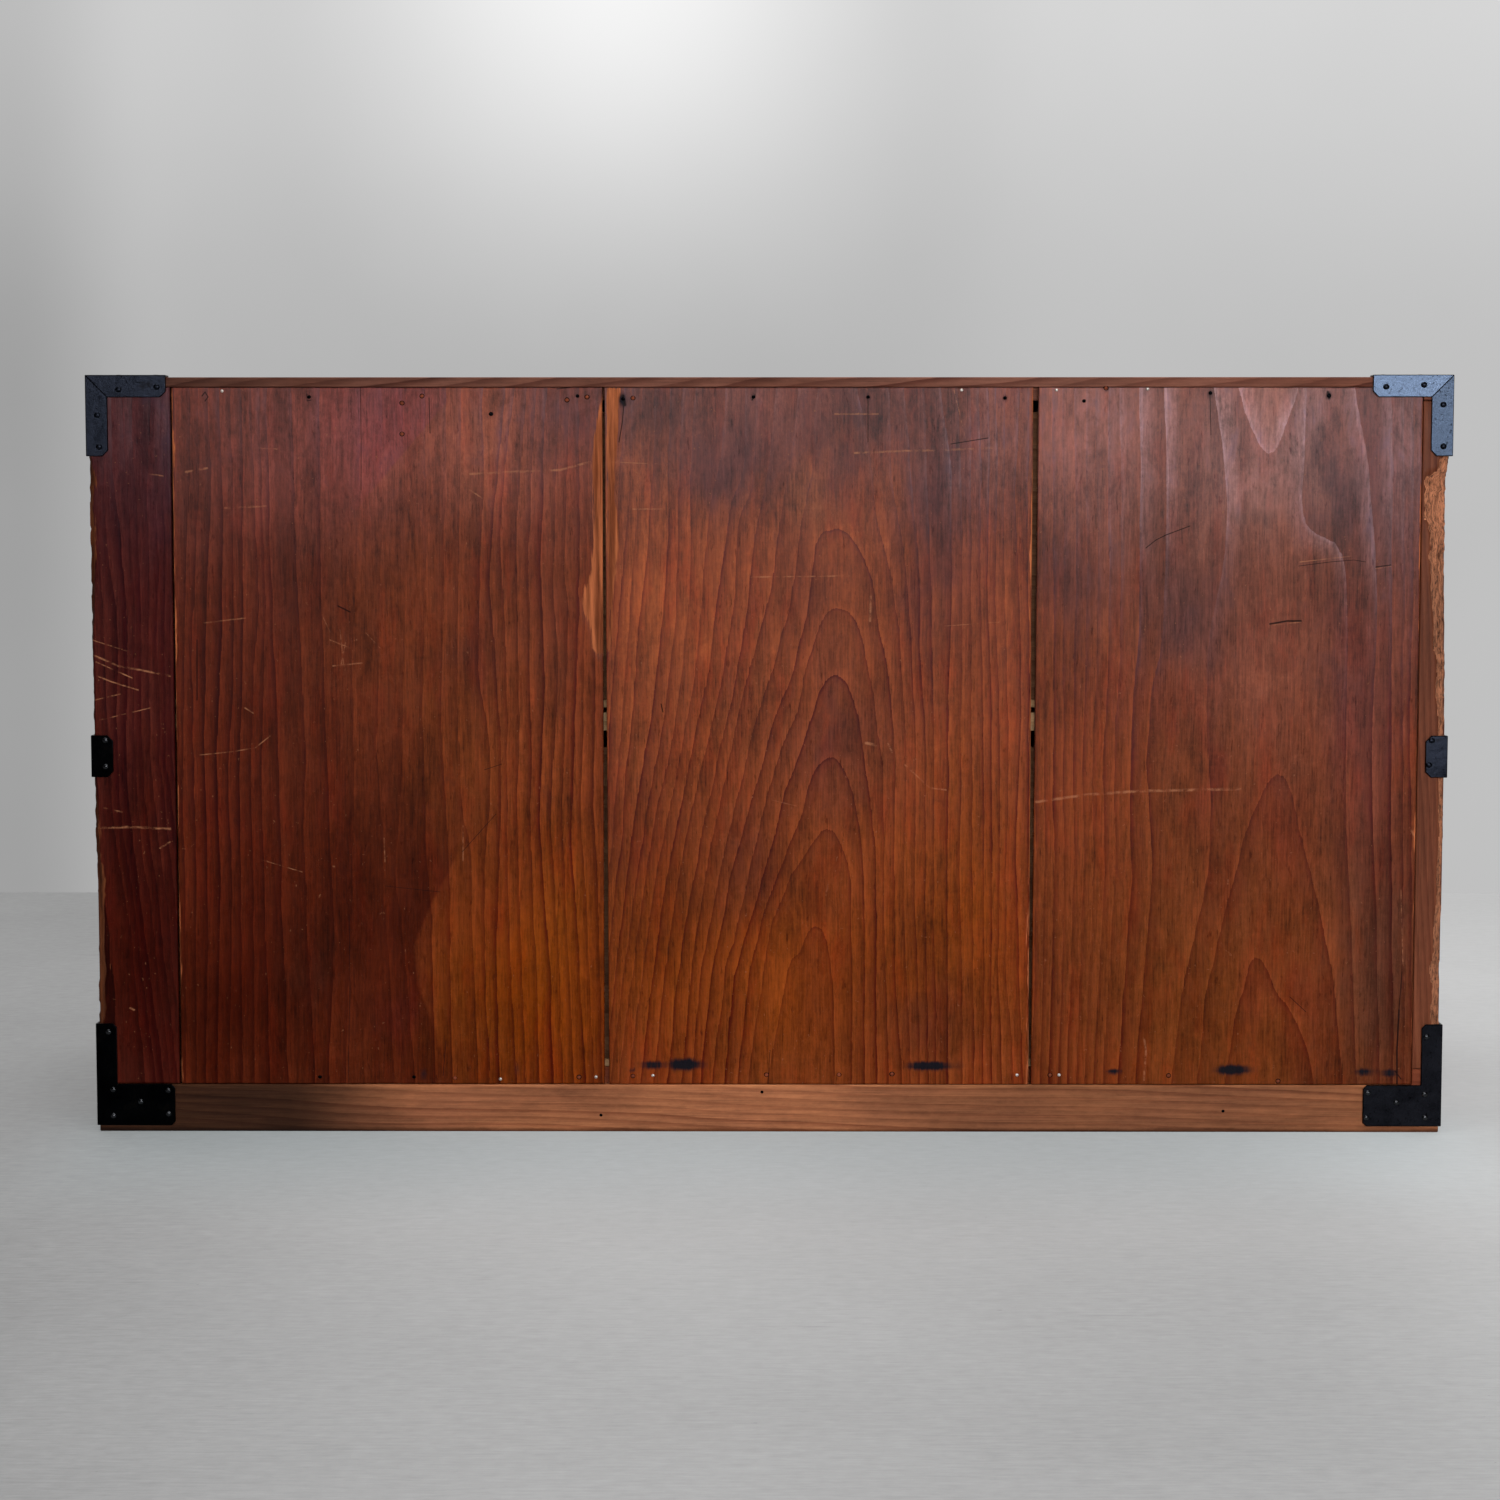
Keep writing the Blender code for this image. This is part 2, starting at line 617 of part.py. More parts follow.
def post_mesh():
    # The turned post, with the pin's hole across its head. Its local +Z points into the drawer.
    mesh = bpy.data.meshes.new("post_profile")
    points = [(r, 0, z) for r, z in post_profile()]
    mesh.from_pydata(points, [(k, k + 1) for k in range(len(points) - 1)], [])
    turned = bpy.data.objects.new("post_profile", mesh)
    bpy.context.scene.collection.objects.link(turned)
    screw = turned.modifiers.new("turn", "SCREW")
    screw.steps = 14
    screw.render_steps = 14
    screw.use_merge_vertices = True
    screw.merge_threshold = 1e-5
    post = bpy.data.objects.new("post", mesh_from(turned))
    bpy.context.scene.collection.objects.link(post)
    reach = POST_HEAD_RADIUS + OVERCUT
    hole = rod(BAIL_PIN_RADIUS + PIVOT_CLEARANCE, (-reach, 0, 0), (reach, 0, 0), "X", 14)
    boolean(post, hole)
    pierced = mesh_from(post)
    bpy.data.objects.remove(hole)
    return pierced


def bail_line():
    # Centre line of a bail as (x, z, radius): knob, pin, elbow, hanging bow, elbow, pin, knob.
    pin_end = HANDLE_SPAN / 2 + POST_HEAD_RADIUS + FIT
    elbow_start = HANDLE_SPAN / 2 - POST_HEAD_RADIUS - FIT
    bow = elbow_start - BAIL_ELBOW
    drop = HANDLE_DROP - BAIL_ELBOW
    knob = [
        (pin_end + BAIL_KNOB_LENGTH, 0, BAIL_PIN_RADIUS * 0.8),
        (pin_end + BAIL_KNOB_LENGTH * 0.8, 0, BAIL_KNOB_RADIUS),
        (pin_end + BAIL_KNOB_LENGTH * 0.25, 0, BAIL_KNOB_RADIUS),
        (pin_end, 0, BAIL_PIN_RADIUS),
    ]
    elbow = []
    for k in range(5):
        turn = k * pi / 8
        x = elbow_start - BAIL_ELBOW * sin(turn)
        elbow.append((x, BAIL_ELBOW * (cos(turn) - 1), BAIL_PIN_RADIUS))
    half_bow = []
    for k in range(1, 8):
        turn = k * pi / 16
        swell = BAIL_PIN_RADIUS + (BAIL_GRIP_RADIUS - BAIL_PIN_RADIUS) * sin(turn)
        half_bow.append((bow * cos(turn), -BAIL_ELBOW - drop * sin(turn), swell))
    half = knob + elbow + half_bow
    lowest = [(0, -HANDLE_DROP, BAIL_GRIP_RADIUS)]
    return half + lowest + [(-x, z, r) for x, z, r in reversed(half)]


def bail_curve():
    curve = bpy.data.curves.new("bail", "CURVE")
    curve.dimensions = "3D"
    curve.bevel_depth = BAIL_PIN_RADIUS
    curve.bevel_resolution = 2
    curve.use_fill_caps = True
    line = bail_line()
    spline = curve.splines.new("POLY")
    spline.points.add(len(line) - 1)
    for point, (x, z, radius) in zip(spline.points, line):
        point.co = (x, 0, z, 1)
        point.radius = radius / BAIL_PIN_RADIUS
    return curve


def handle(name, front, x, z, rig):
    # A bail that swings in two posts. The posts pass through the drawer front and are clenched inside.
    for end, sign in (("left", 1), ("right", -1)):
        post_x = x + sign * HANDLE_SPAN / 2
        post = bpy.data.objects.new(name + "_post_" + end, post_shape.copy())
        post.location = (post_x, PIVOT_Y, z)
        post.rotation_euler = (-pi / 2, 0, 0)
        bpy.context.scene.collection.objects.link(post)
        post.data.shade_smooth()
        post.data.set_sharp_from_angle(angle=radians(35))
        part(post, name + "_post_" + end, iron, rig)
        shank = rod(
            POST_SHANK_RADIUS + SHANK_CLEARANCE,
            (post_x, DRAWER_FACE_Y - OVERCUT, z),
            (post_x, DRAWER_INNER_FACE_Y + OVERCUT, z),
            "Y",
            14,
        )
        boolean(front, cutter(shank, f"{name}_{end}_hole_cutter"))
    bail = bpy.data.objects.new(name + "_bail", bail_curve())
    bail.location = (x, PIVOT_Y, z)
    bpy.context.scene.collection.objects.link(bail)
    part(bail, name + "_bail", iron, rig)


def lock(name, front, top, rig):
    # A round plate with its keyhole, and behind the drawer front a case whose bolt shoots upwards.
    z = top - LOCK_BELOW_TOP
    plate_inner = DRAWER_FACE_Y - FIT
    plate_outer = plate_inner - LOCK_PLATE_THICKNESS
    plate = rod(LOCK_PLATE_RADIUS, (0, plate_outer, z), (0, plate_inner, z), "Y", 40)
    part(plate, name + "_lock_plate", iron, rig)
    bevel(plate, LOCK_PLATE_RIM)
    through_low = plate_outer - OVERCUT
    through_high = DRAWER_INNER_FACE_Y + OVERCUT
    key_round = rod(KEYHOLE_RADIUS, (0, through_low, z), (0, through_high, z), "Y", 14)
    slot_low = z - KEYHOLE_SLOT_LENGTH
    key_slot = box((-KEYHOLE_SLOT_WIDTH / 2, through_low, slot_low), (KEYHOLE_SLOT_WIDTH / 2, through_high, z))
    boolean(key_round, key_slot, "UNION")
    keyhole = bpy.data.objects.new("keyhole", mesh_from(key_round))
    keyhole.location = (0, (through_low + through_high) / 2, z)
    keyhole.rotation_euler = (pi / 2, 0, 0)
    bpy.context.scene.collection.objects.link(keyhole)
    bpy.data.objects.remove(key_slot)
    cutter(keyhole, name + "_keyhole_cutter")
    boolean(plate, keyhole)
    boolean(front, keyhole)

    case_top = top - CASE_BELOW_TOP
    case_low = case_top - CASE_HEIGHT
    case_y = DRAWER_INNER_FACE_Y + FIT
    inner = CASE_WIDTH / 2 - CASE_WALL
    case = box((-CASE_WIDTH / 2, case_y, case_low), (CASE_WIDTH / 2, CASE_INNER_Y, case_top))
    part(case, name + "_lock_case", iron, rig)
    cut_box(
        case,
        name + "_case_cavity_cutter",
        (-inner, case_y - OVERCUT, case_low + CASE_WALL),
        (inner, CASE_INNER_Y - CASE_WALL, case_top - CASE_WALL),
    )
    half = BOLT_WIDTH / 2
    cut_box(
        case,
        name + "_bolt_slot_cutter",
        (-half - BOLT_CLEARANCE, BOLT_Y - BOLT_THICKNESS / 2 - BOLT_CLEARANCE, case_top - CASE_WALL - OVERCUT),
        (half + BOLT_CLEARANCE, BOLT_Y + BOLT_THICKNESS / 2 + BOLT_CLEARANCE, case_top + OVERCUT),
    )
    foot = BOLT_FOOT_WIDTH / 2
    foot_low = case_low + CASE_WALL + BOLT_CLEARANCE
    foot_top = foot_low + BOLT_FOOT_HEIGHT
    right_half = [(foot, foot_low), (foot, foot_top), (half, foot_top), (half, case_top)]
    points = right_half + [(-x, z) for x, z in reversed(right_half)]
    bolt = solid_outline(points, "XZ", BOLT_Y - BOLT_THICKNESS / 2, BOLT_Y + BOLT_THICKNESS / 2)
    part(bolt, name + "_lock_bolt", iron, rig)


clear_scene()
parts = new_collection("kimono_tansu")
cutters = new_collection("cutters")
cedar = new_material("stained_cedar", (0.150, 0.048, 0.022), 0.45)
front_cedar = new_material("front_cedar", (0.165, 0.052, 0.022), 0.38)
pale_wood = new_material("pale_wood", (0.330, 0.190, 0.095), 0.65)
iron = new_material("black_iron", (0.022, 0.024, 0.028), 0.48, 0.85)
post_shape = post_mesh()

top_board()
side_board("side_board_left", 1, BACK_INNER_Y - FIT)
side_board("side_board_right", -1, REAR_Y)
base_rails()
middle_frame()
back_boards()
iron_straps()
drawer("upper_drawer", MIDDLE_RAIL_TOP + DRAWER_RUNNING_GAP, TOP_UNDERSIDE, UPPER_BACK_DROP)
drawer("lower_drawer", BASE_RAIL_HEIGHT + DRAWER_RUNNING_GAP, MIDDLE_RAIL_UNDERSIDE, LOWER_BACK_DROP)
bpy.data.meshes.remove(post_shape)
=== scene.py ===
import json
import math
from contextlib import contextmanager

import bmesh
import bpy
import numpy as np
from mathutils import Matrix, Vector

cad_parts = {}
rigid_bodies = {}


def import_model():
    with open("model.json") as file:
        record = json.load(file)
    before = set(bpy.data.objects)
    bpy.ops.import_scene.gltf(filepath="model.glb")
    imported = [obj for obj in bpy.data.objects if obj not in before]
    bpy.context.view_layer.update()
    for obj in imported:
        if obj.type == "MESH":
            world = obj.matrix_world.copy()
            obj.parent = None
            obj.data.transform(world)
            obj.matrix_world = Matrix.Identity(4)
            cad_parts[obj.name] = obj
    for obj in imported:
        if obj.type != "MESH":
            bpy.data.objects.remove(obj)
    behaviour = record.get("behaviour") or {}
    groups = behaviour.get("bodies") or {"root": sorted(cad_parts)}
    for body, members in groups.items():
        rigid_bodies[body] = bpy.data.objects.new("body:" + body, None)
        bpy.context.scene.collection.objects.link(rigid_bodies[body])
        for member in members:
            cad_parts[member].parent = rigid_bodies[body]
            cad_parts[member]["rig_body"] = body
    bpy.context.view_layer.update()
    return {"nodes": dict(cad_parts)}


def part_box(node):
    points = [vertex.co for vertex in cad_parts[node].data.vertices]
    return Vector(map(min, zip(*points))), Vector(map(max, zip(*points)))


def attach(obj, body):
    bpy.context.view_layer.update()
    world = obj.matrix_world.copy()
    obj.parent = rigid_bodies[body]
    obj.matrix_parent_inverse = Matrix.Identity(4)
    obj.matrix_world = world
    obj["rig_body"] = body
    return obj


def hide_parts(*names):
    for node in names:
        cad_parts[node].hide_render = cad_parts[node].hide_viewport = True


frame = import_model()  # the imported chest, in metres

scene = bpy.context.scene
scene.view_settings.view_transform = "Standard"
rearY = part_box("back_board_left")[1].y  # rear face of the chest
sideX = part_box("back_strip")[1].x  # outer face of the side boards
print("frame loaded:", len(frame["nodes"]), "nodes")


# camera, and the way from picture points to the chest's rear face

cameraSetup = {
    "place": (0.00286, 2.66581, 0.50235),
    "pitch": 4.6556,  # degrees downwards
    "yaw": 0.2762,
    "lens": 75.0,
    "sensor": 36.0,
    "picture": 1500,  # pixels on a side
}
focal = cameraSetup["lens"] / cameraSetup["sensor"] * cameraSetup["picture"]  # in pixels
halfway = cameraSetup["picture"] / 2


def cameraAxes(s):
    p, q = math.radians(s["pitch"]), math.radians(s["yaw"])
    right = np.array((-math.cos(q), -math.sin(q), 0))
    ahead = np.array((math.sin(q) * math.cos(p), -math.cos(q) * math.cos(p), -math.sin(p)))
    up = np.array((math.sin(q) * math.sin(p), -math.cos(q) * math.sin(p), math.cos(p)))
    return right, up, ahead


def onPicture(points):
    # picture column and row of points on the chest
    right, up, ahead = cameraAxes(cameraSetup)
    away = np.asarray(points, float) - np.array(cameraSetup["place"])
    depth = away @ ahead
    return halfway + focal * (away @ right) / depth, halfway - focal * (away @ up) / depth


def fromPicture(col, row, y=rearY):
    # the point on the upright plane at y that shows at this column and row
    right, up, ahead = cameraAxes(cameraSetup)
    ray = ahead + right * (col - halfway) / focal - up * (row - halfway) / focal
    start = np.array(cameraSetup["place"])
    return Vector(start + ray * (y - start[1]) / ray[1])


def heightAt(row):
    return fromPicture(halfway, row).z


def readLine(text):
    return np.array([[float(n) for n in pair.split(",")] for pair in text.split()])


def makeCamera(s):
    data = bpy.data.cameras.new("rearCamera")
    data.lens, data.sensor_width = s["lens"], s["sensor"]
    data.clip_end = 50
    camera = bpy.data.objects.new("rearCamera", data)
    camera.location = s["place"]
    camera.rotation_euler = (math.radians(90 - s["pitch"]), 0, math.radians(180 + s["yaw"]))
    scene.collection.objects.link(camera)
    scene.camera = camera


makeCamera(cameraSetup)


# small node helpers, each gives back the output socket

def newMaterial(name):
    material = bpy.data.materials.new(name)
    material.use_nodes = True
    material.node_tree.nodes.clear()
    return material, material.node_tree


def feed(tree, socket, value):
    if isinstance(value, bpy.types.NodeSocket):
        tree.links.new(value, socket)
    elif value is not None:
        socket.default_value = value


def calc(tree, operation, a, b=None, c=None, clamp=False):
    node = tree.nodes.new("ShaderNodeMath")
    node.operation, node.use_clamp = operation, clamp
    for socket, value in zip(node.inputs, (a, b, c)):
        feed(tree, socket, value)
    return node.outputs[0]


def times(tree, a, b):
    return calc(tree, "MULTIPLY", a, b)


def weigh(tree, start, *parts):
    # start, and each part times its weight
    for value, weight in parts:
        start = calc(tree, "MULTIPLY_ADD", value, weight, start)
    return start


def vectorCalc(tree, operation, a, b=None, scale=None):
    node = tree.nodes.new("ShaderNodeVectorMath")
    node.operation = operation
    feed(tree, node.inputs[0], a)
    if b is not None:
        feed(tree, node.inputs[1], b)
    if scale is not None:
        feed(tree, node.inputs["Scale"], scale)
    return node.outputs["Value" if operation in ("LENGTH", "DOT_PRODUCT") else "Vector"]


def scaled(tree, colour, tone):
    return vectorCalc(tree, "SCALE", colour, scale=tone)


def axesOf(tree, place):
    node = tree.nodes.new("ShaderNodeSeparateXYZ")
    feed(tree, node.inputs[0], place)
    return tuple(node.outputs)


def fade(tree, value, low, high, start=0.0, end=1.0):
    # a soft step from start to end while value goes from low to high
    node = tree.nodes.new("ShaderNodeMapRange")
    node.interpolation_type = "SMOOTHSTEP"
    for k, v in enumerate((value, low, high, start, end)):
        feed(tree, node.inputs[k], v)
    return node.outputs[0]


def mixColour(tree, share, a, b, kind="MIX"):
    node = tree.nodes.new("ShaderNodeMix")
    node.data_type, node.blend_type = "RGBA", kind
    feed(tree, node.inputs[0], share)
    for socket, value in ((node.inputs[6], a), (node.inputs[7], b)):
        feed(tree, socket, (*value, 1.0) if isinstance(value, tuple) else value)
    return node.outputs[2]


def tinted(tree, colour, tint):
    return mixColour(tree, 1.0, colour, tint, "MULTIPLY")


def washed(tree, share, colour, tint):
    # the colour, with a share of it tinted
    return mixColour(tree, share, colour, tinted(tree, colour, tint))


def mottle(tree, place, stretch, detail=3.0, rough=0.55, warp=0.0):
    # noise with its own stretch along each axis, cells per metre
    node = tree.nodes.new("ShaderNodeTexNoise")
    feed(tree, node.inputs["Vector"], vectorCalc(tree, "MULTIPLY", place, stretch))
    node.inputs["Scale"].default_value = 1.0
    node.inputs["Detail"].default_value = detail
    node.inputs["Roughness"].default_value = rough
    node.inputs["Distortion"].default_value = warp
    return node.outputs["Fac"]


def noisesOf(tree, place, settings):
    return {name: mottle(tree, place, *how) for name, how in settings.items()}


def swings(tree, noise, *names):
    # the named noises, moved to lie evenly about nought
    return [calc(tree, "SUBTRACT", noise[name], 0.5) for name in names]


def splitRing(tree, ring):
    # how far a point lies past its ring's start, and a number of the ring's own
    whole = calc(tree, "FLOOR", ring)
    each = tree.nodes.new("ShaderNodeTexWhiteNoise")
    each.noise_dimensions = "1D"
    feed(tree, each.inputs["W"], whole)
    return calc(tree, "SUBTRACT", ring, whole), each.outputs["Value"]


def painted(tree, name, what="Fac"):
    node = tree.nodes.new("ShaderNodeAttribute")
    node.attribute_name = name
    return node.outputs[what]


def here(tree):
    return tree.nodes.new("ShaderNodeTexCoord").outputs["Object"]


def shownBy(tree, kind, shader):
    out = tree.nodes.new(kind)
    tree.links.new(shader.outputs[0], out.inputs["Surface"])


def finishSurface(tree, colour, roughness, height, depth, specular, metallic=0.0):
    bump = tree.nodes.new("ShaderNodeBump")
    bump.inputs["Strength"].default_value = 1.0
    bump.inputs["Distance"].default_value = depth
    feed(tree, bump.inputs["Height"], height)
    shader = tree.nodes.new("ShaderNodeBsdfPrincipled")
    feed(tree, shader.inputs["Base Color"], colour)
    feed(tree, shader.inputs["Roughness"], roughness)
    shader.inputs["Metallic"].default_value = metallic
    shader.inputs["Specular IOR Level"].default_value = specular
    tree.links.new(bump.outputs[0], shader.inputs["Normal"])
    shownBy(tree, "ShaderNodeOutputMaterial", shader)
    return shader


# pieces: each stands for a CAD node and rides on that node's body

weld = 3e-6  # points nearer than this are one
flatAngle = math.radians(0.4)  # faces that turn less than this are one
flatArea = 3e-5  # faces larger than this, in square metres, count as flat sides
mm = 0.001


def placed(obj, node):
    if not obj.users_collection:
        scene.collection.objects.link(obj)
    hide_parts(node)
    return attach(obj, frame["nodes"][node]["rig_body"])


@contextmanager
def opened(mesh):
    # the mesh, open for changes to its points and faces
    shape = bmesh.new()
    shape.from_mesh(mesh)
    yield shape
    shape.to_mesh(mesh)
    shape.free()


def withEdges(faces):
    return faces + list({e for f in faces for e in f.edges}) + list({v for f in faces for v in f.verts})


def newMesh(name, shape, *materials):
    # a shape that is done, as a mesh with its materials
    mesh = bpy.data.meshes.new(name)
    shape.to_mesh(mesh)
    shape.free()
    for material in materials:
        mesh.materials.append(material)
    obj = bpy.data.objects.new(name, mesh)
    scene.collection.objects.link(obj)
    return obj


def cleanCopy(node, ending, *materials):
    # the node's own shape, welded and with its flat faces whole again
    shape = bmesh.new()
    shape.from_mesh(frame["nodes"][node].data)
    bmesh.ops.remove_doubles(shape, verts=shape.verts, dist=weld)
    bmesh.ops.dissolve_limit(shape, angle_limit=flatAngle, verts=shape.verts, edges=shape.edges)
    for face in shape.faces:
        face.material_index = 0
    return newMesh(node + ending, shape, *materials)


def roundEdges(obj, width, segments=2, angle=40):
    bevel = obj.modifiers.new("arris", "BEVEL")
    bevel.width, bevel.segments = width, segments
    bevel.limit_method, bevel.angle_limit = "ANGLE", math.radians(angle)
    bevel.use_clamp_overlap = True
    bevel.miter_outer = "MITER_ARC"


def settle(obj, sharp=38):
    # modifiers go into the mesh
    bpy.context.view_layer.update()
    old = obj.data
    made = bpy.data.meshes.new_from_object(obj.evaluated_get(bpy.context.evaluated_depsgraph_get()))
    obj.modifiers.clear()
    obj.data = made
    bpy.data.meshes.remove(old)
    made.shade_smooth()
    made.set_sharp_from_angle(angle=math.radians(sharp))
    for face in made.polygons:
        if face.area > flatArea:  # flat faces stay flat beside their rounded edges
            face.use_smooth = False
    return obj


# grain and stain, worked out on the boards' own points

def softNoise(u, v, cellU, cellV, seed, size=64):
    # smooth random field from -1 to 1
    table = np.random.RandomState(seed).rand(size, size) * 2 - 1
    a, b = np.asarray(u, float) / cellU, np.asarray(v, float) / cellV
    i, j = np.floor(a).astype(int), np.floor(b).astype(int)
    s, t = a - i, b - j
    s, t = s * s * (3 - 2 * s), t * t * (3 - 2 * t)
    i, j, k, m = i % size, j % size, (i + 1) % size, (j + 1) % size
    low = table[i, j] * (1 - s) + table[k, j] * s
    return low * (1 - t) + (table[i, m] * (1 - s) + table[k, m] * s) * t


ringSetup = {
    "scale": 0.01,  # picture points to the field's own units
    "squeeze": 0.35,  # and along the grain
    "reach": 55,  # a line gives a known point at least this often
    "ease": 0.002,  # how freely the field may miss a known point
    "batch": 4000,
}


def ringField(lines, col, row, s):
    # one smooth surface through all traced grain lines, so each line is one ring
    scale = (s["scale"], s["scale"] * s["squeeze"])
    known = {}
    for ring, text in lines:
        line = readLine(text)
        for a, b in zip(line, line[1:]):
            for t in np.linspace(0, 1, max(2, int(abs(b - a).max() / s["reach"]) + 2)):
                known[tuple(np.round(a + (b - a) * t))] = ring
    places = np.array(list(known)) * scale
    rings = np.array(list(known.values()), float)

    def pull(a, b):
        gap = ((a[:, None, :] - b[None, :, :]) ** 2).sum(2)
        return 0.5 * gap * np.log(gap + 1e-12)

    count = len(places)
    flat = np.hstack([np.ones((count, 1)), places])
    system = np.zeros((count + 3, count + 3))
    system[:count, :count] = pull(places, places) + np.eye(count) * s["ease"]
    system[:count, count:], system[count:, :count] = flat, flat.T
    weights = np.linalg.solve(system, np.concatenate([rings, np.zeros(3)]))
    where = np.stack([col, row], 1) * scale
    return np.concatenate([
        pull(part, places) @ weights[:count] + weights[count] + part @ weights[count + 1:]
        for part in np.array_split(where, max(1, len(where) // s["batch"]))
    ])


def insideBy(col, row, corners):
    # how far inside an outline each point lies, in picture points, negative outside
    nearest, inside = np.full(len(col), 1e9), np.zeros(len(col), bool)
    for (ax, ay), (bx, by) in zip(corners, np.roll(corners, -1, axis=0)):
        dx, dy = bx - ax, by - ay
        t = np.clip(((col - ax) * dx + (row - ay) * dy) / (dx * dx + dy * dy), 0, 1)
        nearest = np.minimum(nearest, np.hypot(col - ax - t * dx, row - ay - t * dy))
        crossed = (ay > row) != (by > row)
        inside ^= crossed & (col < ax + (row - ay) * dx / (dy if dy else 1e-9))
    return np.where(inside, nearest, -nearest)


def blob(col, row, x, y, wide, tall, strength):
    return strength * np.exp(-(((col - x) / wide) ** 2) - ((row - y) / tall) ** 2)


def patchwork(col, row, base, patches):
    # stain laid over stain: middle, half sizes, strength, colour
    colour = np.tile(np.array(base, float), (len(col), 1))
    for *where, tint in patches:
        colour += (np.array(tint) - colour) * blob(col, row, *where)[:, None]
    return colour


def strongest(col, row, marks):
    # the strongest mark at each point: middle, half sizes, strength
    total = np.zeros(len(col))
    for mark in marks:
        total = np.maximum(total, blob(col, row, *mark))
    return total


# worn corners: picture row, width lost on the rear face and depth lost along the side, in mm

wornCorners = {
    "left": [
        (452, -1, -1), (458, 1.5, 1.5), (480, 4, 3), (500, 1.5, 1.5), (530, 3.5, 2.5), (560, 3, 2),
        (600, 2, 1.5), (630, 0.6, 0.8), (735, 0.6, 0.8), (780, 0.8, 1), (820, 2, 2), (860, 3.5, 4),
        (890, 6, 7), (930, 6, 7), (970, 5.5, 6), (1010, 4.5, 5), (1026, 3, 3), (1040, -1, -1),
    ],
    "right": [
        (450, -1, -1), (459, 8, 6), (470, 11, 12), (477, 20, 16), (512, 20, 16), (527, 16, 16),
        (571, 14, 15), (600, 12, 12), (640, 10, 9), (680, 8, 6), (700, 7, 5), (735, 6, 3), (780, 4.5, 2.5),
        (830, 4, 2), (880, 5, 3), (930, 7, 5), (980, 8, 6), (1024, 7, 4), (1040, -1, -1),
    ],
}


def wornAt(side, z):
    rows, wide, deep = np.array(wornCorners[side], float)[::-1].T
    heights = [heightAt(row) for row in rows]
    wide, deep = np.interp(z, heights, wide * mm), np.interp(z, heights, deep * mm)
    ragged = 1 + 0.12 * softNoise(z, z * 0, 0.016, 1, 5) + 0.12 * softNoise(z, z * 0, 0.004, 1, 6)
    return [np.where(lost > 0, lost * ragged, lost) for lost in (wide, deep)]


# traced grain lines: ring number, then picture points from the top down

stripLines = [
    (1, "92,400 94,570 95,720 99,845 106,912 110,960 115,990 115,1075"),
    (2, "96,400 98,520 102,620 108,732 112,770 114,820 121,870 132,935 138,1008 145,1075"),
    (3, "102,400 104,490 108,555 116,605 118,650 116,715 120,800 129,870 139,945 144,990 156,1075"),
    (4, "112,400 113,470 120,535 126,610 128,685 126,765 132,835 140,900 150,970 162,1070"),
    (5, "122,400 124,445 128,500 134,570 136,630 134,720 137,795 143,850 150,895 158,970 168,1055"),
    (6, "132,400 133,460 138,555 141,630 141,720 144,795 150,850 158,900 165,970"),
    (7, "150,400 148,485 150,570 148,670 150,750 156,820 163,870 168,910"),
    (8, "162,400 158,480 156,515 159,570 158,650 162,730 167,825"),
    (9, "168,400 164,485 166,570 164,650 166,770"),
]
leftLines = [
    (0, "174,390 176,1085"),
    (1, "190,400 191,472 186,560 185,670 182,780 186,900 186,1075"),
    (2, "198,400 199,475 194,580 191,665 195,770 196,900 196,1075"),
    (3, "208,410 211,485 206,620 204,750 208,900 206,1075"),
    (4, "219,400 223,490 222,630 217,760 220,870 218,1075"),
    (5, "230,400 234,520 234,670 228,780 232,900 230,1075"),
    (6, "241,400 243,570 242,680 239,770 241,870 242,1075"),
    (7, "252,400 256,520 259,605 255,680 251,770 254,900 255,1075"),
    (8, "259,400 263,520 266,605 263,680 261,770 265,900 270,1075"),
    (9, "266,400 269,502 273,630 278,730 280,820 283,920 288,1075"),
    (10, "292,400 298,590 302,675 305,750 304,845 307,925 315,1075"),
    (11, "319,400 321,590 325,720 330,820 334,930 330,1075"),
    (12, "360,400 360,515 352,650 354,745 353,828 350,955 345,1075"),
    (13, "382,400 382,532 379,650 376,750 382,820 387,920 395,1075"),
    (14, "402,400 405,620 403,715 400,795 396,880 406,970 414,1075"),
    (15, "425,400 426,570 422,720 425,820 432,920 436,1075"),
    (16, "446,400 444,610 441,720 445,785 449,870 452,1075"),
    (17, "462,400 458,542 458,720 461,800 472,860 473,945 478,1075"),
    (18, "482,400 484,470 480,585 478,670 489,740 490,795 484,870 486,995 489,1075"),
    (19, "506,398 498,485 488,580 495,645 502,755 500,860 496,945 499,1075"),
    (20, "513,400 504,470 500,535 506,650 506,755 508,870 511,970 518,1075"),
    (21, "526,400 520,475 516,535 518,620 520,720 518,820 520,920 525,1075"),
    (22, "536,400 528,540 529,670 531,750 530,820 535,945 540,1075"),
    (23, "546,400 541,545 545,695 542,750 540,820 549,945 554,1075"),
    (24, "560,400 553,595 558,670 554,745 550,820 558,945 563,1075"),
    (25, "570,400 563,570 568,605 565,720 562,820 568,945 574,1075"),
    (26, "577,400 580,485 580,610 574,750 572,845 580,970 586,1075"),
    (27, "591,400 588,470 583,650 583,750 580,805 586,895 594,1075"),
    (28, "598,400 592,570 597,630 595,730 594,820 598,895 602,1075"),
]
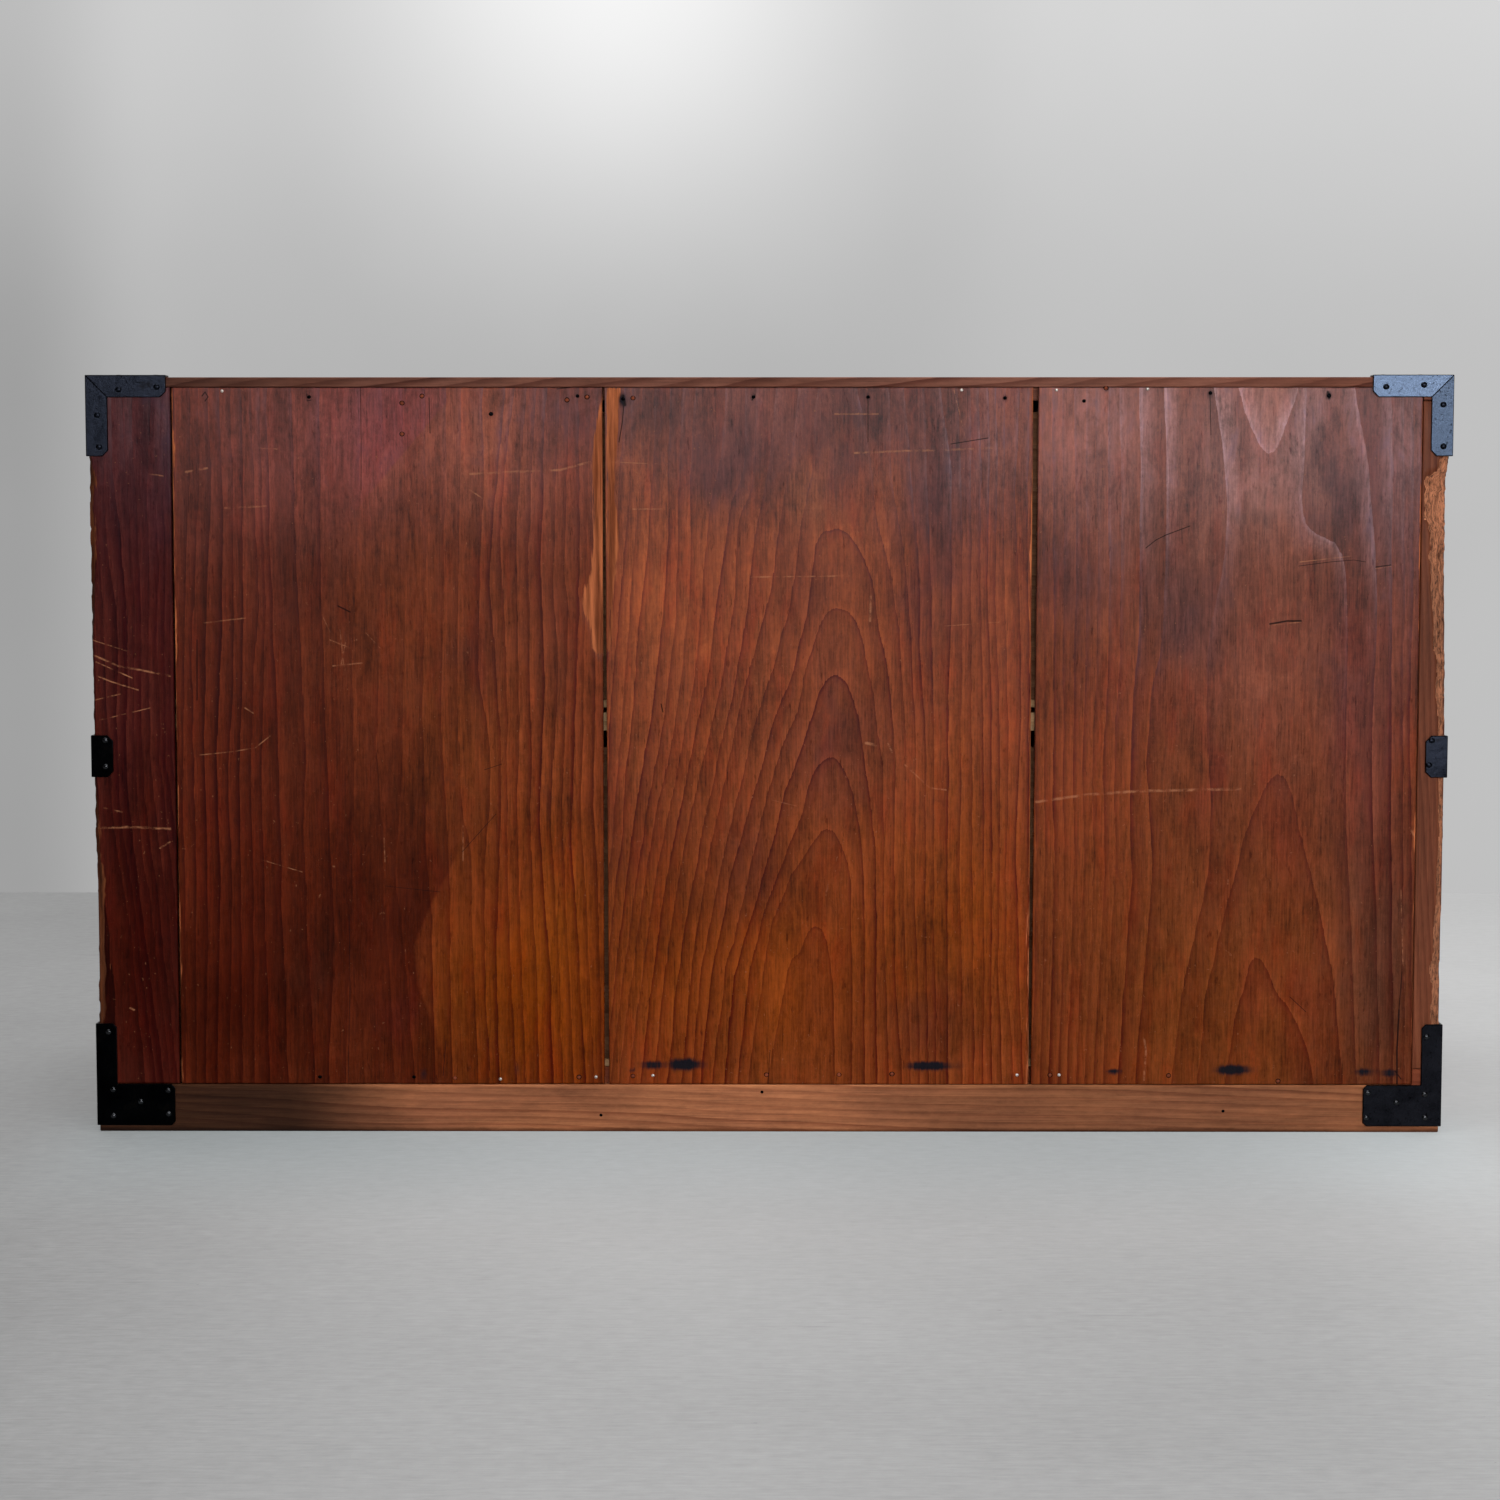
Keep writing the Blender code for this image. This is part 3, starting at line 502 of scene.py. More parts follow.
centreLines = [
    (1, "820,929 831,965 833,1000 835,1075"),
    (1, "820,929 800,955 782,1000 768,1075"),
    (2, "828,829 841,845 850,872 852,970 852,1075"),
    (2, "828,829 808,850 790,876 772,920 761,990 748,1075"),
    (3, "828,758 845,772 854,800 862,850 865,920 865,1075"),
    (3, "828,758 812,776 800,820 784,862 769,900 752,960 738,1075"),
    (4, "835,675 858,715 870,795 876,850 876,970 878,1075"),
    (4, "835,675 816,702 805,738 786,788 772,845 752,915 733,975 725,1075"),
    (5, "839,609 860,631 872,685 882,765 885,970 889,1075"),
    (5, "839,609 820,625 805,668 796,715 776,765 761,820 744,898 724,990 713,1075"),
    (6, "832,531 859,550 872,580 878,625 888,670 895,750 895,970 902,1075"),
    (6, "832,531 815,545 808,605 794,670 775,715 761,770 744,825 728,885 711,975 702,1065"),
    (7, "860,400 870,458 877,520 888,562 900,635 906,750 904,920 911,1075"),
    (7, "816,400 812,470 800,535 790,605 772,670 755,725 742,780 722,865 700,975 693,1070"),
    (8, "890,400 892,480 905,560 911,635 917,750 915,870 920,1075"),
    (8, "798,400 790,460 781,515 769,595 750,665 735,730 722,790 709,850 692,960 683,1070"),
    (9, "905,400 913,490 919,570 920,650 926,750 926,870 928,1075"),
    (9, "775,400 768,470 755,535 746,620 734,690 718,760 705,820 690,900 675,995 668,1075"),
    (10, "925,400 928,520 931,610 934,750 934,870 936,1075"),
    (10, "756,400 752,470 739,520 734,600 720,690 702,765 689,820 675,900 662,995 654,1075"),
    (11, "942,400 952,470 953,570 950,670 948,820 948,920 948,1075"),
    (11, "746,400 745,470 731,505 720,580 708,670 692,750 680,810 664,890 650,995 641,1075"),
    (12, "958,400 962,520 962,630 961,750 960,870 964,1075"),
    (12, "725,400 719,470 708,520 702,595 695,680 681,750 670,805 654,890 640,995 629,1075"),
    (13, "972,400 971,520 971,670 972,820 973,920 974,1075"),
    (13, "695,400 690,470 691,535 689,605 680,690 668,760 654,820 642,900 629,995 619,1075"),
    (14, "978,400 982,470 980,570 984,720 985,850 985,970 984,1075"),
    (14, "682,400 680,470 678,535 674,630 664,720 652,780 642,845 631,920 621,995 611,1075"),
    (15, "989,400 990,470 988,580 992,720 992,850 992,970 992,1075"),
    (15, "670,400 668,470 669,535 662,620 654,700 642,770 632,830 622,920 611,1020"),
    (16, "996,400 998,460 995,590 999,720 1000,850 998,970 1002,1075"),
    (16, "654,400 653,470 648,535 639,620 634,690 625,770 621,845 612,920"),
    (17, "1006,400 1003,510 1006,630 1009,740 1006,870 1005,970 1014,1075"),
    (17, "642,400 640,470 635,535 630,620 624,690 618,770 611,850"),
    (18, "1019,400 1016,505 1020,610 1022,720 1016,850 1019,945 1023,1075"),
    (18, "631,400 630,490 622,580 615,650 609,720"),
    (19, "1029,400 1028,520 1029,670 1029,870 1031,1075"),
    (19, "624,400 620,470 615,560 608,650"),
]
rightLines = [
    (0, "1251,960 1236,1015 1226,1075"),
    (0, "1251,960 1275,990 1300,1030 1312,1075"),
    (1, "1275,775 1255,810 1242,845 1235,875 1220,930 1206,995 1198,1075"),
    (1, "1275,775 1292,795 1301,835 1311,875 1323,925 1334,980 1342,1075"),
    (1, "1239,387 1246,415 1256,438 1266,452 1278,447 1286,425 1294,400 1300,387"),
    (2, "1214,388 1222,440 1227,500 1224,560 1214,610 1207,660 1207,730"
        " 1211,800 1208,870 1195,935 1182,995 1172,1075"),
    (3, "1164,388 1166,470 1166,560 1162,640 1150,700 1146,760 1150,820 1152,870 1146,950 1136,1075"),
    (4, "1139,388 1141,470 1140,560 1138,640 1132,720 1130,800 1132,880 1126,960 1118,1075"),
    (5, "1120,388 1121,480 1121,570 1119,660 1114,760 1115,870 1110,960 1103,1075"),
    (6, "1108,388 1108,480 1109,570 1108,660 1104,760 1104,870 1100,960 1094,1075"),
    (7, "1096,388 1097,480 1098,570 1097,660 1093,760 1094,870 1090,960 1085,1075"),
    (8, "1086,388 1086,480 1087,570 1086,660 1083,760 1084,870 1081,960 1076,1075"),
    (9, "1074,388 1075,480 1076,570 1074,660 1073,760 1074,870 1071,960 1067,1075"),
    (10, "1062,388 1063,480 1064,570 1063,660 1063,760 1064,870 1062,960 1058,1075"),
    (11, "1052,388 1053,480 1053,570 1053,660 1053,760 1054,870 1052,960 1049,1075"),
    (12, "1042,388 1043,520 1043,670 1045,820 1044,970 1040,1075"),
    (2, "1306,388 1305,440 1302,500 1306,522 1318,534 1330,540 1341,552 1346,580 1348,640 1346,740 1346,820"
        " 1350,905 1356,1075"),
    (3, "1356,388 1362,430 1370,480 1375,540 1377,600 1374,680 1372,760 1374,850 1377,940 1380,1075"),
    (4, "1392,388 1394,470 1392,560 1392,640 1392,720 1391,820 1392,920 1393,1075"),
    (5, "1404,400 1404,520 1406,610 1403,695 1403,805 1404,920 1405,1075"),
    (6, "1414,400 1413,570 1411,670 1410,750 1412,820 1411,970 1413,1075"),
    (7, "1421,400 1420,520 1419,650 1420,750 1422,838 1421,970 1421,1075"),
]


# back boards: dense slabs with the grain lines, stain, tears and scratches of each board

stripBoard = {
    "lines": stripLines,
    # painted sheen: a pale wash at the top, and a cool one rising from the foot
    "dust": (0.006, 0.003, 0.004), "haze": (0.0, 0.0005, 0.002),
    "strength": 0.9,
    "base": (0.031, 0.0052, 0.0030),
    "patches": [
        (135, 430, 60, 130, 0.8, (0.031, 0.0066, 0.0062)), (165, 430, 12, 60, 0.7, (0.018, 0.008, 0.014)),
        (125, 660, 60, 70, 0.6, (0.047, 0.0092, 0.0055)), (130, 950, 60, 130, 0.8, (0.023, 0.0018, 0.0003)),
        (118, 872, 12, 60, 0.5, (0.022, 0.003, 0.001)), (150, 800, 16, 60, 0.4, (0.060, 0.010, 0.003)),
    ],
    # where the dense wood is painted pale as sheen: middle, half sizes, strength
    "bloom": [(135, 380, 80, 80, 0.15)],
    "scratches": [
        ("150,474 163,476", 1.6), ("93,655 118,666 140,670 170,676", 2.2), ("97,676 112,682 138,690", 1.6),
        ("95,700 120,694", 1.4), ("104,808 122,812", 1.6), ("98,828 128,827 170,829", 2.8),
        ("160,848 170,842", 2.0), ("130,1008 134,1010", 2.4), ("92,640 130,652", 1.2),
        ("100,720 150,708", 1.2), ("96,662 132,678", 1.4),
    ],
    "scratchShare": 0.75,
    "worn": "left",
    "rawTone": 0.30,
    "line": (11.0, 0.75, 22.0, 0.35),
    "lift": (20.0, 0.95),
}
leftBoard = {
    "lines": leftLines,
    "line": (5.0, 0.66, 16.0, 0.45),
    "lift": (12.0, 0.50),
    # painted sheen: a pale wash at the top, and a cool one rising from the foot
    "dust": (0.022, 0.010, 0.010), "haze": (0.0, 0.0045, 0.005),
    "strength": 0.95,
    "calm": [(395, 560, 80, 240, 0.92), (375, 900, 70, 220, 0.75), (470, 480, 40, 80, 0.5)],
    "base": (0.092, 0.0165, 0.0050),
    "patches": [
        (220, 760, 100, 330, 0.85, (0.056, 0.0070, 0.0016)),
        (250, 450, 110, 110, 0.7, (0.089, 0.020, 0.012)), (370, 445, 80, 90, 0.75, (0.172, 0.041, 0.027)),
        (500, 440, 80, 80, 0.75, (0.172, 0.045, 0.022)), (540, 740, 80, 190, 0.7, (0.150, 0.032, 0.007)),
        (410, 640, 80, 130, 0.6, (0.142, 0.027, 0.006)), (540, 980, 110, 150, 0.9, (0.130, 0.0235, 0.0003)),
        (340, 900, 70, 150, 0.75, (0.058, 0.0065, 0.0010)), (455, 770, 40, 90, 0.5, (0.140, 0.031, 0.005)),
        (235, 1000, 90, 120, 0.8, (0.027, 0.0018, 0.0001)), (480, 645, 26, 30, 0.55, (0.068, 0.015, 0.008)),
        (548, 640, 22, 60, 0.5, (0.070, 0.015, 0.008)), (570, 415, 44, 46, 0.75, (0.042, 0.012, 0.012)),
        (400, 1020, 24, 34, 0.6, (0.080, 0.010, 0.006)), (318, 970, 30, 36, 0.5, (0.040, 0.010, 0.005)),
        (280, 590, 20, 120, 0.4, (0.060, 0.009, 0.004)), (190, 520, 18, 130, 0.4, (0.060, 0.011, 0.006)),
        (560, 920, 30, 90, 0.4, (0.165, 0.038, 0.003)), (470, 1000, 40, 60, 0.4, (0.110, 0.026, 0.002)),
        (545, 520, 40, 60, 0.4, (0.120, 0.026, 0.012)),
    ],
    "zones": [
        # the first zone, high on the left, is tinted purple: painted sheen
        ("250,370 444,370 447,402 428,424 396,462 356,510 338,540 250,540", 1.2,
         (400, 425, 85, 90, 1.0), (0.92, 0.80, 1.25)),
        ("472,650 472,735 467,800 456,858 432,903 414,945 418,985 435,1030 452,1100 250,1100"
         " 250,650", 2.2, (430, 940, 75, 150, 1.0), (0.55, 0.42, 0.45)),
    ],
    # where the dense wood is painted pale as sheen: middle, half sizes, strength
    "bloom": [(420, 370, 200, 90, 0.30)],
    "bare": [
        "605,400 605,654 599,657 593,648 592,636 590,625 584,612 582,600 585,588 591,572"
        " 594,540 593,500 592,470 593,440 598,415 602,395",
    ],
    "bareLeft": 0.7,
    "scratches": [
        ("186,472 207,468", 2.6), ("258,448 277,449", 1.6), ("225,508 266,506", 2.2),
        ("204,623 245,618", 1.6), ("470,474 530,471 560,470 590,462", 2.6), ("330,640 350,648", 1.4),
        ("333,666 362,663", 1.6), ("340,630 344,668", 1.4), ("346,640 340,670", 1.3),
        ("366,633 380,648", 1.0), ("322,615 330,632", 1.2), ("200,755 230,752 255,748 270,736", 1.3),
        ("245,708 253,713", 1.6), ("262,860 302,872", 1.2), ("384,838 385,862", 1.2),
        ("463,826 463,861", 1.5), ("470,490 482,498", 1.6), ("160,1005 166,1006", 1.6),
    ],
    "cracks": [
        ("360.6,387 361,440 361,490", 0.9), ("429,398 430,433", 1.0), ("348,1085 350,985 349,915", 0.7),
        ("443,1076 446,1040", 0.7), ("385,886 440,892", 0.6), ("338,606 350,612", 1.8),
        ("462,852 496,814", 0.7), ("484,770 502,764", 0.7), ("197,640 197,700", 1.4),
        ("202,396 205,392 208,397 205,401", 1.4), ("307,394 307,401 311,400", 1.0),
        ("557,389 572,387 604,387", 1.3),
    ],
    "soot": [(423, 1074, 5, 9, 0.6), (518, 1070, 6, 10, 0.4)],
}
centreBoard = {
    "lines": centreLines,
    # painted sheen: a pale wash at the top, and a cool one rising from the foot
    "dust": (0.014, 0.009, 0.009), "haze": (0.006, 0.010, 0.013),
    "strength": 1.0,
    "calm": [(800, 430, 120, 60, 0.7), (660, 430, 60, 60, 0.5)],
    "base": (0.165, 0.0355, 0.0085),
    "patches": [
        (820, 400, 300, 75, 0.85, (0.098, 0.026, 0.017)), (725, 465, 66, 50, 0.8, (0.050, 0.013, 0.012)),
        (950, 490, 48, 60, 0.85, (0.048, 0.012, 0.013)), (929, 570, 22, 80, 0.65, (0.058, 0.014, 0.012)),
        (800, 500, 40, 26, 0.6, (0.165, 0.047, 0.016)), (815, 580, 50, 50, 0.5, (0.115, 0.026, 0.011)),
        (640, 590, 40, 150, 0.6, (0.238, 0.054, 0.012)), (800, 960, 210, 130, 0.7, (0.150, 0.0280, 0.0008)),
        (825, 960, 30, 130, 0.5, (0.115, 0.019, 0.004)), (965, 880, 60, 150, 0.6, (0.168, 0.0335, 0.0005)),
        (625, 835, 26, 60, 0.6, (0.075, 0.014, 0.005)), (690, 870, 40, 60, 0.4, (0.095, 0.019, 0.005)),
        (845, 735, 45, 40, 0.6, (0.090, 0.020, 0.011)), (925, 1030, 60, 50, 0.6, (0.085, 0.020, 0.008)),
        (645, 420, 34, 40, 0.6, (0.050, 0.014, 0.010)), (755, 860, 36, 40, 0.5, (0.085, 0.018, 0.008)),
        (850, 800, 60, 30, 0.4, (0.105, 0.023, 0.009)), (715, 640, 60, 80, 0.5, (0.218, 0.049, 0.012)),
        (988, 445, 22, 55, 0.6, (0.180, 0.050, 0.026)), (985, 560, 40, 90, 0.4, (0.135, 0.031, 0.012)),
        (830, 720, 14, 70, 0.5, (0.070, 0.016, 0.010)), (650, 940, 60, 110, 0.5, (0.140, 0.0265, 0.001)),
        (845, 430, 40, 40, 0.6, (0.052, 0.014, 0.011)), (700, 700, 20, 120, 0.4, (0.205, 0.040, 0.006)),
    ],
    # where the dense wood is painted pale as sheen: middle, half sizes, strength
    "bloom": [(820, 370, 260, 90, 0.50), (960, 450, 90, 70, 0.4)],
    "bare": [
        "607,388 619,388 619,430 616,460 615,500 620,525 618,545 615,580 613,610 612,640 609,652 607,652",
    ],
    "bareRight": 0.6,
    "scratches": [
        ("633,509 662,509", 1.6), ("835,414 878,414", 1.8), ("855,453 900,451 945,450 992,448", 2.4),
        ("871,594 870,621", 2.6), ("612,462 660,464", 1.2), ("828,885 826,895", 2.4),
        ("866,743 876,745", 3.4), ("888,744 892,752", 2.4), ("905,765 930,788 946,790", 1.8),
        ("750,577 850,576", 1.6), ("772,800 796,806", 1.2), ("945,626 1000,622", 1.0),
        ("954,390 966,440", 1.0),
    ],
    "cracks": [
        ("623,396 625,405", 3.6), ("624,404 622,424 619,442", 1.3), ("868,398 868,442", 1.0),
        ("951,444 988,438", 1.2), ("755,395 752,400", 1.6), ("768,1086 770,1050", 0.7),
        ("661,704 663,712", 1.4), ("607,386 632,387", 1.6),
    ],
    "soot": [
        (655, 1065, 19, 5, 0.85), (686, 1064.5, 20, 6.5, 1.1), (930, 1066, 26, 5, 1.1),
        (632, 1070, 4, 3, 0.6), (623, 400, 6, 8, 0.8), (868, 397, 4, 5, 0.7), (753, 397, 4, 5, 0.6),
        (1005, 398, 4, 5, 0.6),
    ],
}
rightBoard = {
    "lines": rightLines,
    "line": (5.0, 0.62, 26.0, 0.50),
    # painted sheen: a pale wash at the top, and a cool one rising from the foot
    "dust": (0.038, 0.022, 0.022), "haze": (0.006, 0.010, 0.012),
    "strength": 0.95,
    "calm": [(1265, 600, 60, 120, 0.6), (1090, 900, 60, 160, 0.5)],
    "base": (0.133, 0.0290, 0.0065),
    "patches": [
        # the pale pink patch at 1270,450 is painted sheen
        (1180, 450, 160, 120, 0.75, (0.150, 0.046, 0.030)), (1270, 450, 60, 90, 0.7, (0.195, 0.088, 0.074)),
        (1380, 470, 50, 130, 0.7, (0.088, 0.030, 0.032)), (1190, 605, 40, 48, 0.85, (0.056, 0.019, 0.019)),
        (1332, 492, 24, 42, 0.75, (0.058, 0.020, 0.021)), (1256, 521, 12, 20, 0.7, (0.060, 0.022, 0.014)),
        (1075, 575, 42, 38, 0.80, (0.062, 0.016, 0.012)), (1070, 480, 40, 50, 0.5, (0.185, 0.052, 0.030)),
        (1090, 770, 64, 180, 0.6, (0.170, 0.034, 0.006)), (1285, 830, 26, 60, 0.6, (0.130, 0.016, 0.005)),
        (1210, 790, 12, 70, 0.6, (0.150, 0.019, 0.006)), (1345, 690, 22, 90, 0.6, (0.090, 0.015, 0.012)),
        (1370, 760, 40, 150, 0.5, (0.118, 0.031, 0.022)),
        (1180, 990, 160, 110, 0.6, (0.118, 0.0285, 0.0050)),
        (1380, 980, 55, 130, 0.7, (0.066, 0.0265, 0.0160)), (1265, 660, 90, 110, 0.5, (0.150, 0.044, 0.028)),
        (1150, 690, 60, 40, 0.45, (0.150, 0.027, 0.010)), (1256, 985, 22, 40, 0.5, (0.125, 0.017, 0.006)),
        (1080, 1000, 50, 90, 0.6, (0.152, 0.034, 0.008)), (1230, 900, 60, 60, 0.4, (0.110, 0.026, 0.008)),
        (1200, 460, 10, 60, 0.4, (0.090, 0.026, 0.020)), (1310, 1010, 16, 60, 0.5, (0.120, 0.017, 0.006)),
    ],
    # where the dense wood is painted pale as sheen: middle, half sizes, strength
    "bloom": [(1252, 400, 165, 190, 1.0), (1330, 520, 60, 120, 0.8)],
    "bareRight": 0.0,
    "scratches": [
        ("1376,568.5 1391,566.5", 1.4), ("1273,625 1301,622", 1.4),
        ("1036,802 1085,795 1140,791 1240,789", 3.2), ("1144,1038 1146,1050 1144,1080", 2.4),
        ("1410,828 1420,846", 2.4), ("1226,951 1231,955", 2.4), ("1401,890 1402,930 1403,964", 1.3),
        ("1228,880 1228,884", 1.8), ("1300,562 1352,556", 1.2),
    ],
    "cracks": [
        ("1146,548 1156,540 1166,535 1190,526", 1.2), ("1299,566 1330,562 1354,560 1366,562", 0.8),
        ("1376,567 1391,565", 1.2), ("1270,624 1287,621 1301,621", 2.2), ("1210,393 1211,435", 0.9),
        ("1397,1085 1397,1050 1399,1010", 2.2), ("1399,1010 1402,972", 1.1), ("1395,1071 1401,1079", 1.5),
        ("1328,392 1329,398", 3.2), ("1290,997 1306,1012", 0.8),
    ],
    "soot": [
        (1232, 1070, 20, 5.5, 1.1), (1113, 1072, 10, 3, 0.95), (1364, 1072, 12, 4.5, 0.9),
        (1390, 1073, 12, 4, 0.85), (1210, 394, 4, 6, 0.7), (1106, 388, 4, 5, 0.6), (1329, 396, 5, 5, 0.7),
        (1375, 1072, 18, 3, 0.4),
    ],
}
backBoards = {
    "back_strip": stripBoard,
    "back_board_left": leftBoard,
    "back_board_centre": centreBoard,
    "back_board_right": rightBoard,
}


# what the boards share; a board's own settings, above, count before these

boardLook = {
    "noises": {  # cells per metre along x, y and z, detail, roughness, warp
        "fibre": ((700, 700, 42), 3, 0.65),
        "streak": ((190, 190, 9), 3),
        "smudge": ((70, 70, 28), 8, 0.70, 0.5),
        "grit": ((380, 380, 170), 5, 0.72),
        "cloud": ((17, 17, 10), 4, 0.6),
        "ticks": ((55, 55, 480), 3, 0.65),
        "warmth": ((60, 60, 16), 6, 0.65),
        "rubbing": ((34, 34, 46), 9, 0.74, 0.6),
        "specks": ((420, 420, 330), 2, 0.6),
        "flecks": ((330, 330, 75), 3, 0.6),
        "dashes": ((95, 95, 150), 6, 0.75),
    },
    "calm": [], "zones": [], "bare": [], "cracks": [], "soot": [],
    "sway": (4.0, 2.6),  # picture points that streak and fibre push a ring
    "line": (3.4, 0.62, 16.0, 0.42),  # dark edge of a ring and its soft side: width and strength
    "lift": (10.0, 0.24),  # paler wood past a ring: width and strength
    "paces": (0.006, 0.30),  # fewest and most rings per picture point
    "upper": (0.43, 0.56),  # heights between which dirt and grit grow and the painted top sheen comes in
    # heights over which the cool painted sheen rises
    "hazy": (0.05, 0.55),
    "denseTint": (0.47, 0.24, 0.30),
    "denseShine": (0.275, 0.150, 0.150),  # dense wood is painted pale where the lamps graze it: painted sheen
    "rim": (24.0, 0.85),  # painted shade on the dark side of a ring, inside the painted sheen: width and strength
    "rimTint": (0.45, 0.38, 0.38),
    "warm": ((-0.02, 0.20, 0.0, 0.6), (1.06, 0.72, 0.62)),  # where it begins and is full, share, tint
    "grime": ((0.06, 0.24, 0.0, 0.6), (0.45, 0.50, 0.75)),
    "rubbed": ((0.54, 0.70, 0.0, 0.45), (1.35, 1.5, 1.6)),
    "speck": ((0.70, 0.78, 0.0, 0.5), (0.24, 0.095, 0.045)),
    "fleck": ((0.63, 0.74, 0.0, 0.6), (0.38, 0.30, 0.36)),
    "rawTones": ((0.150, 0.038, 0.014), (0.44, 0.128, 0.048)),
    "rawTone": 0.9,
    "sootTone": (0.007, 0.006, 0.009),
    "scratchTone": (0.40, 0.165, 0.080),
    "scratchShare": 0.55,
    "crackTone": (0.006, 0.003, 0.003),
    "crackShare": 0.92,
    "bump": 0.00013,
    "gloss": 0.035,
}
slabGrid = {
    "column": 0.0021, "row": 0.0029,  # size of the cells
    "arris": 0.0010,
    "ends": (0, 0.35, 0.8, 1.4, 2.2),  # lines near an edge, in arris widths
    "tear": 0.0011, "wave": 0.00018,  # depth of torn wood, and of the plane's waves
    "deepest": 0.004,
    "walls": (0.3, 0.65, 1.0),  # rings of points down the edges, as shares of the thickness
    "bite": 0.0006,  # raggedness of a torn edge
    "point": 0.00078,  # size of a picture point on the rear face
    "outside": -30.0, "torn": 12,  # bareness of sound and of torn wood, in picture points
    "rawFrom": 0.0003, "tornFrom": 0.0004,  # least width lost that shows raw wood, and a torn edge
    "rawReach": 260,  # picture points of raw wood for each metre lost
    "tiny": 1e-4,
    "firstRing": 40,
    "sharp": math.radians(50),
}
markSetup = {"core": 0.0001, "rim": 0.0005, "wait": 1e-7}  # half widths per picture point of width


def lineMask(tree, place, marks, s):
    # thin marks drawn between picture points, each with its width in picture points
    total = None
    for text, width in marks:
        line = [fromPicture(c, r) for c, r in readLine(text)]
        for a, b in zip(line, line[1:]):
            a, b = Vector((a.x, 0, a.z)), Vector((b.x, 0, b.z))
            run = b - a
            if total is not None:  # each mark waits for the one before, which keeps the shader small
                place = vectorCalc(tree, "ADD", place, scaled(tree, run, times(tree, total, s["wait"])))
            off = vectorCalc(tree, "SUBTRACT", place, a)
            along = vectorCalc(tree, "DOT_PRODUCT", off, run / run.length_squared)
            along = calc(tree, "ADD", along, 0.0, clamp=True)
            off = vectorCalc(tree, "SUBTRACT", off, scaled(tree, run, along))
            away = vectorCalc(tree, "LENGTH", off)
            near = fade(tree, away, width * s["core"], width * s["rim"], 1.0, 0.0)
            total = near if total is None else calc(tree, "MAXIMUM", total, near)
    return total


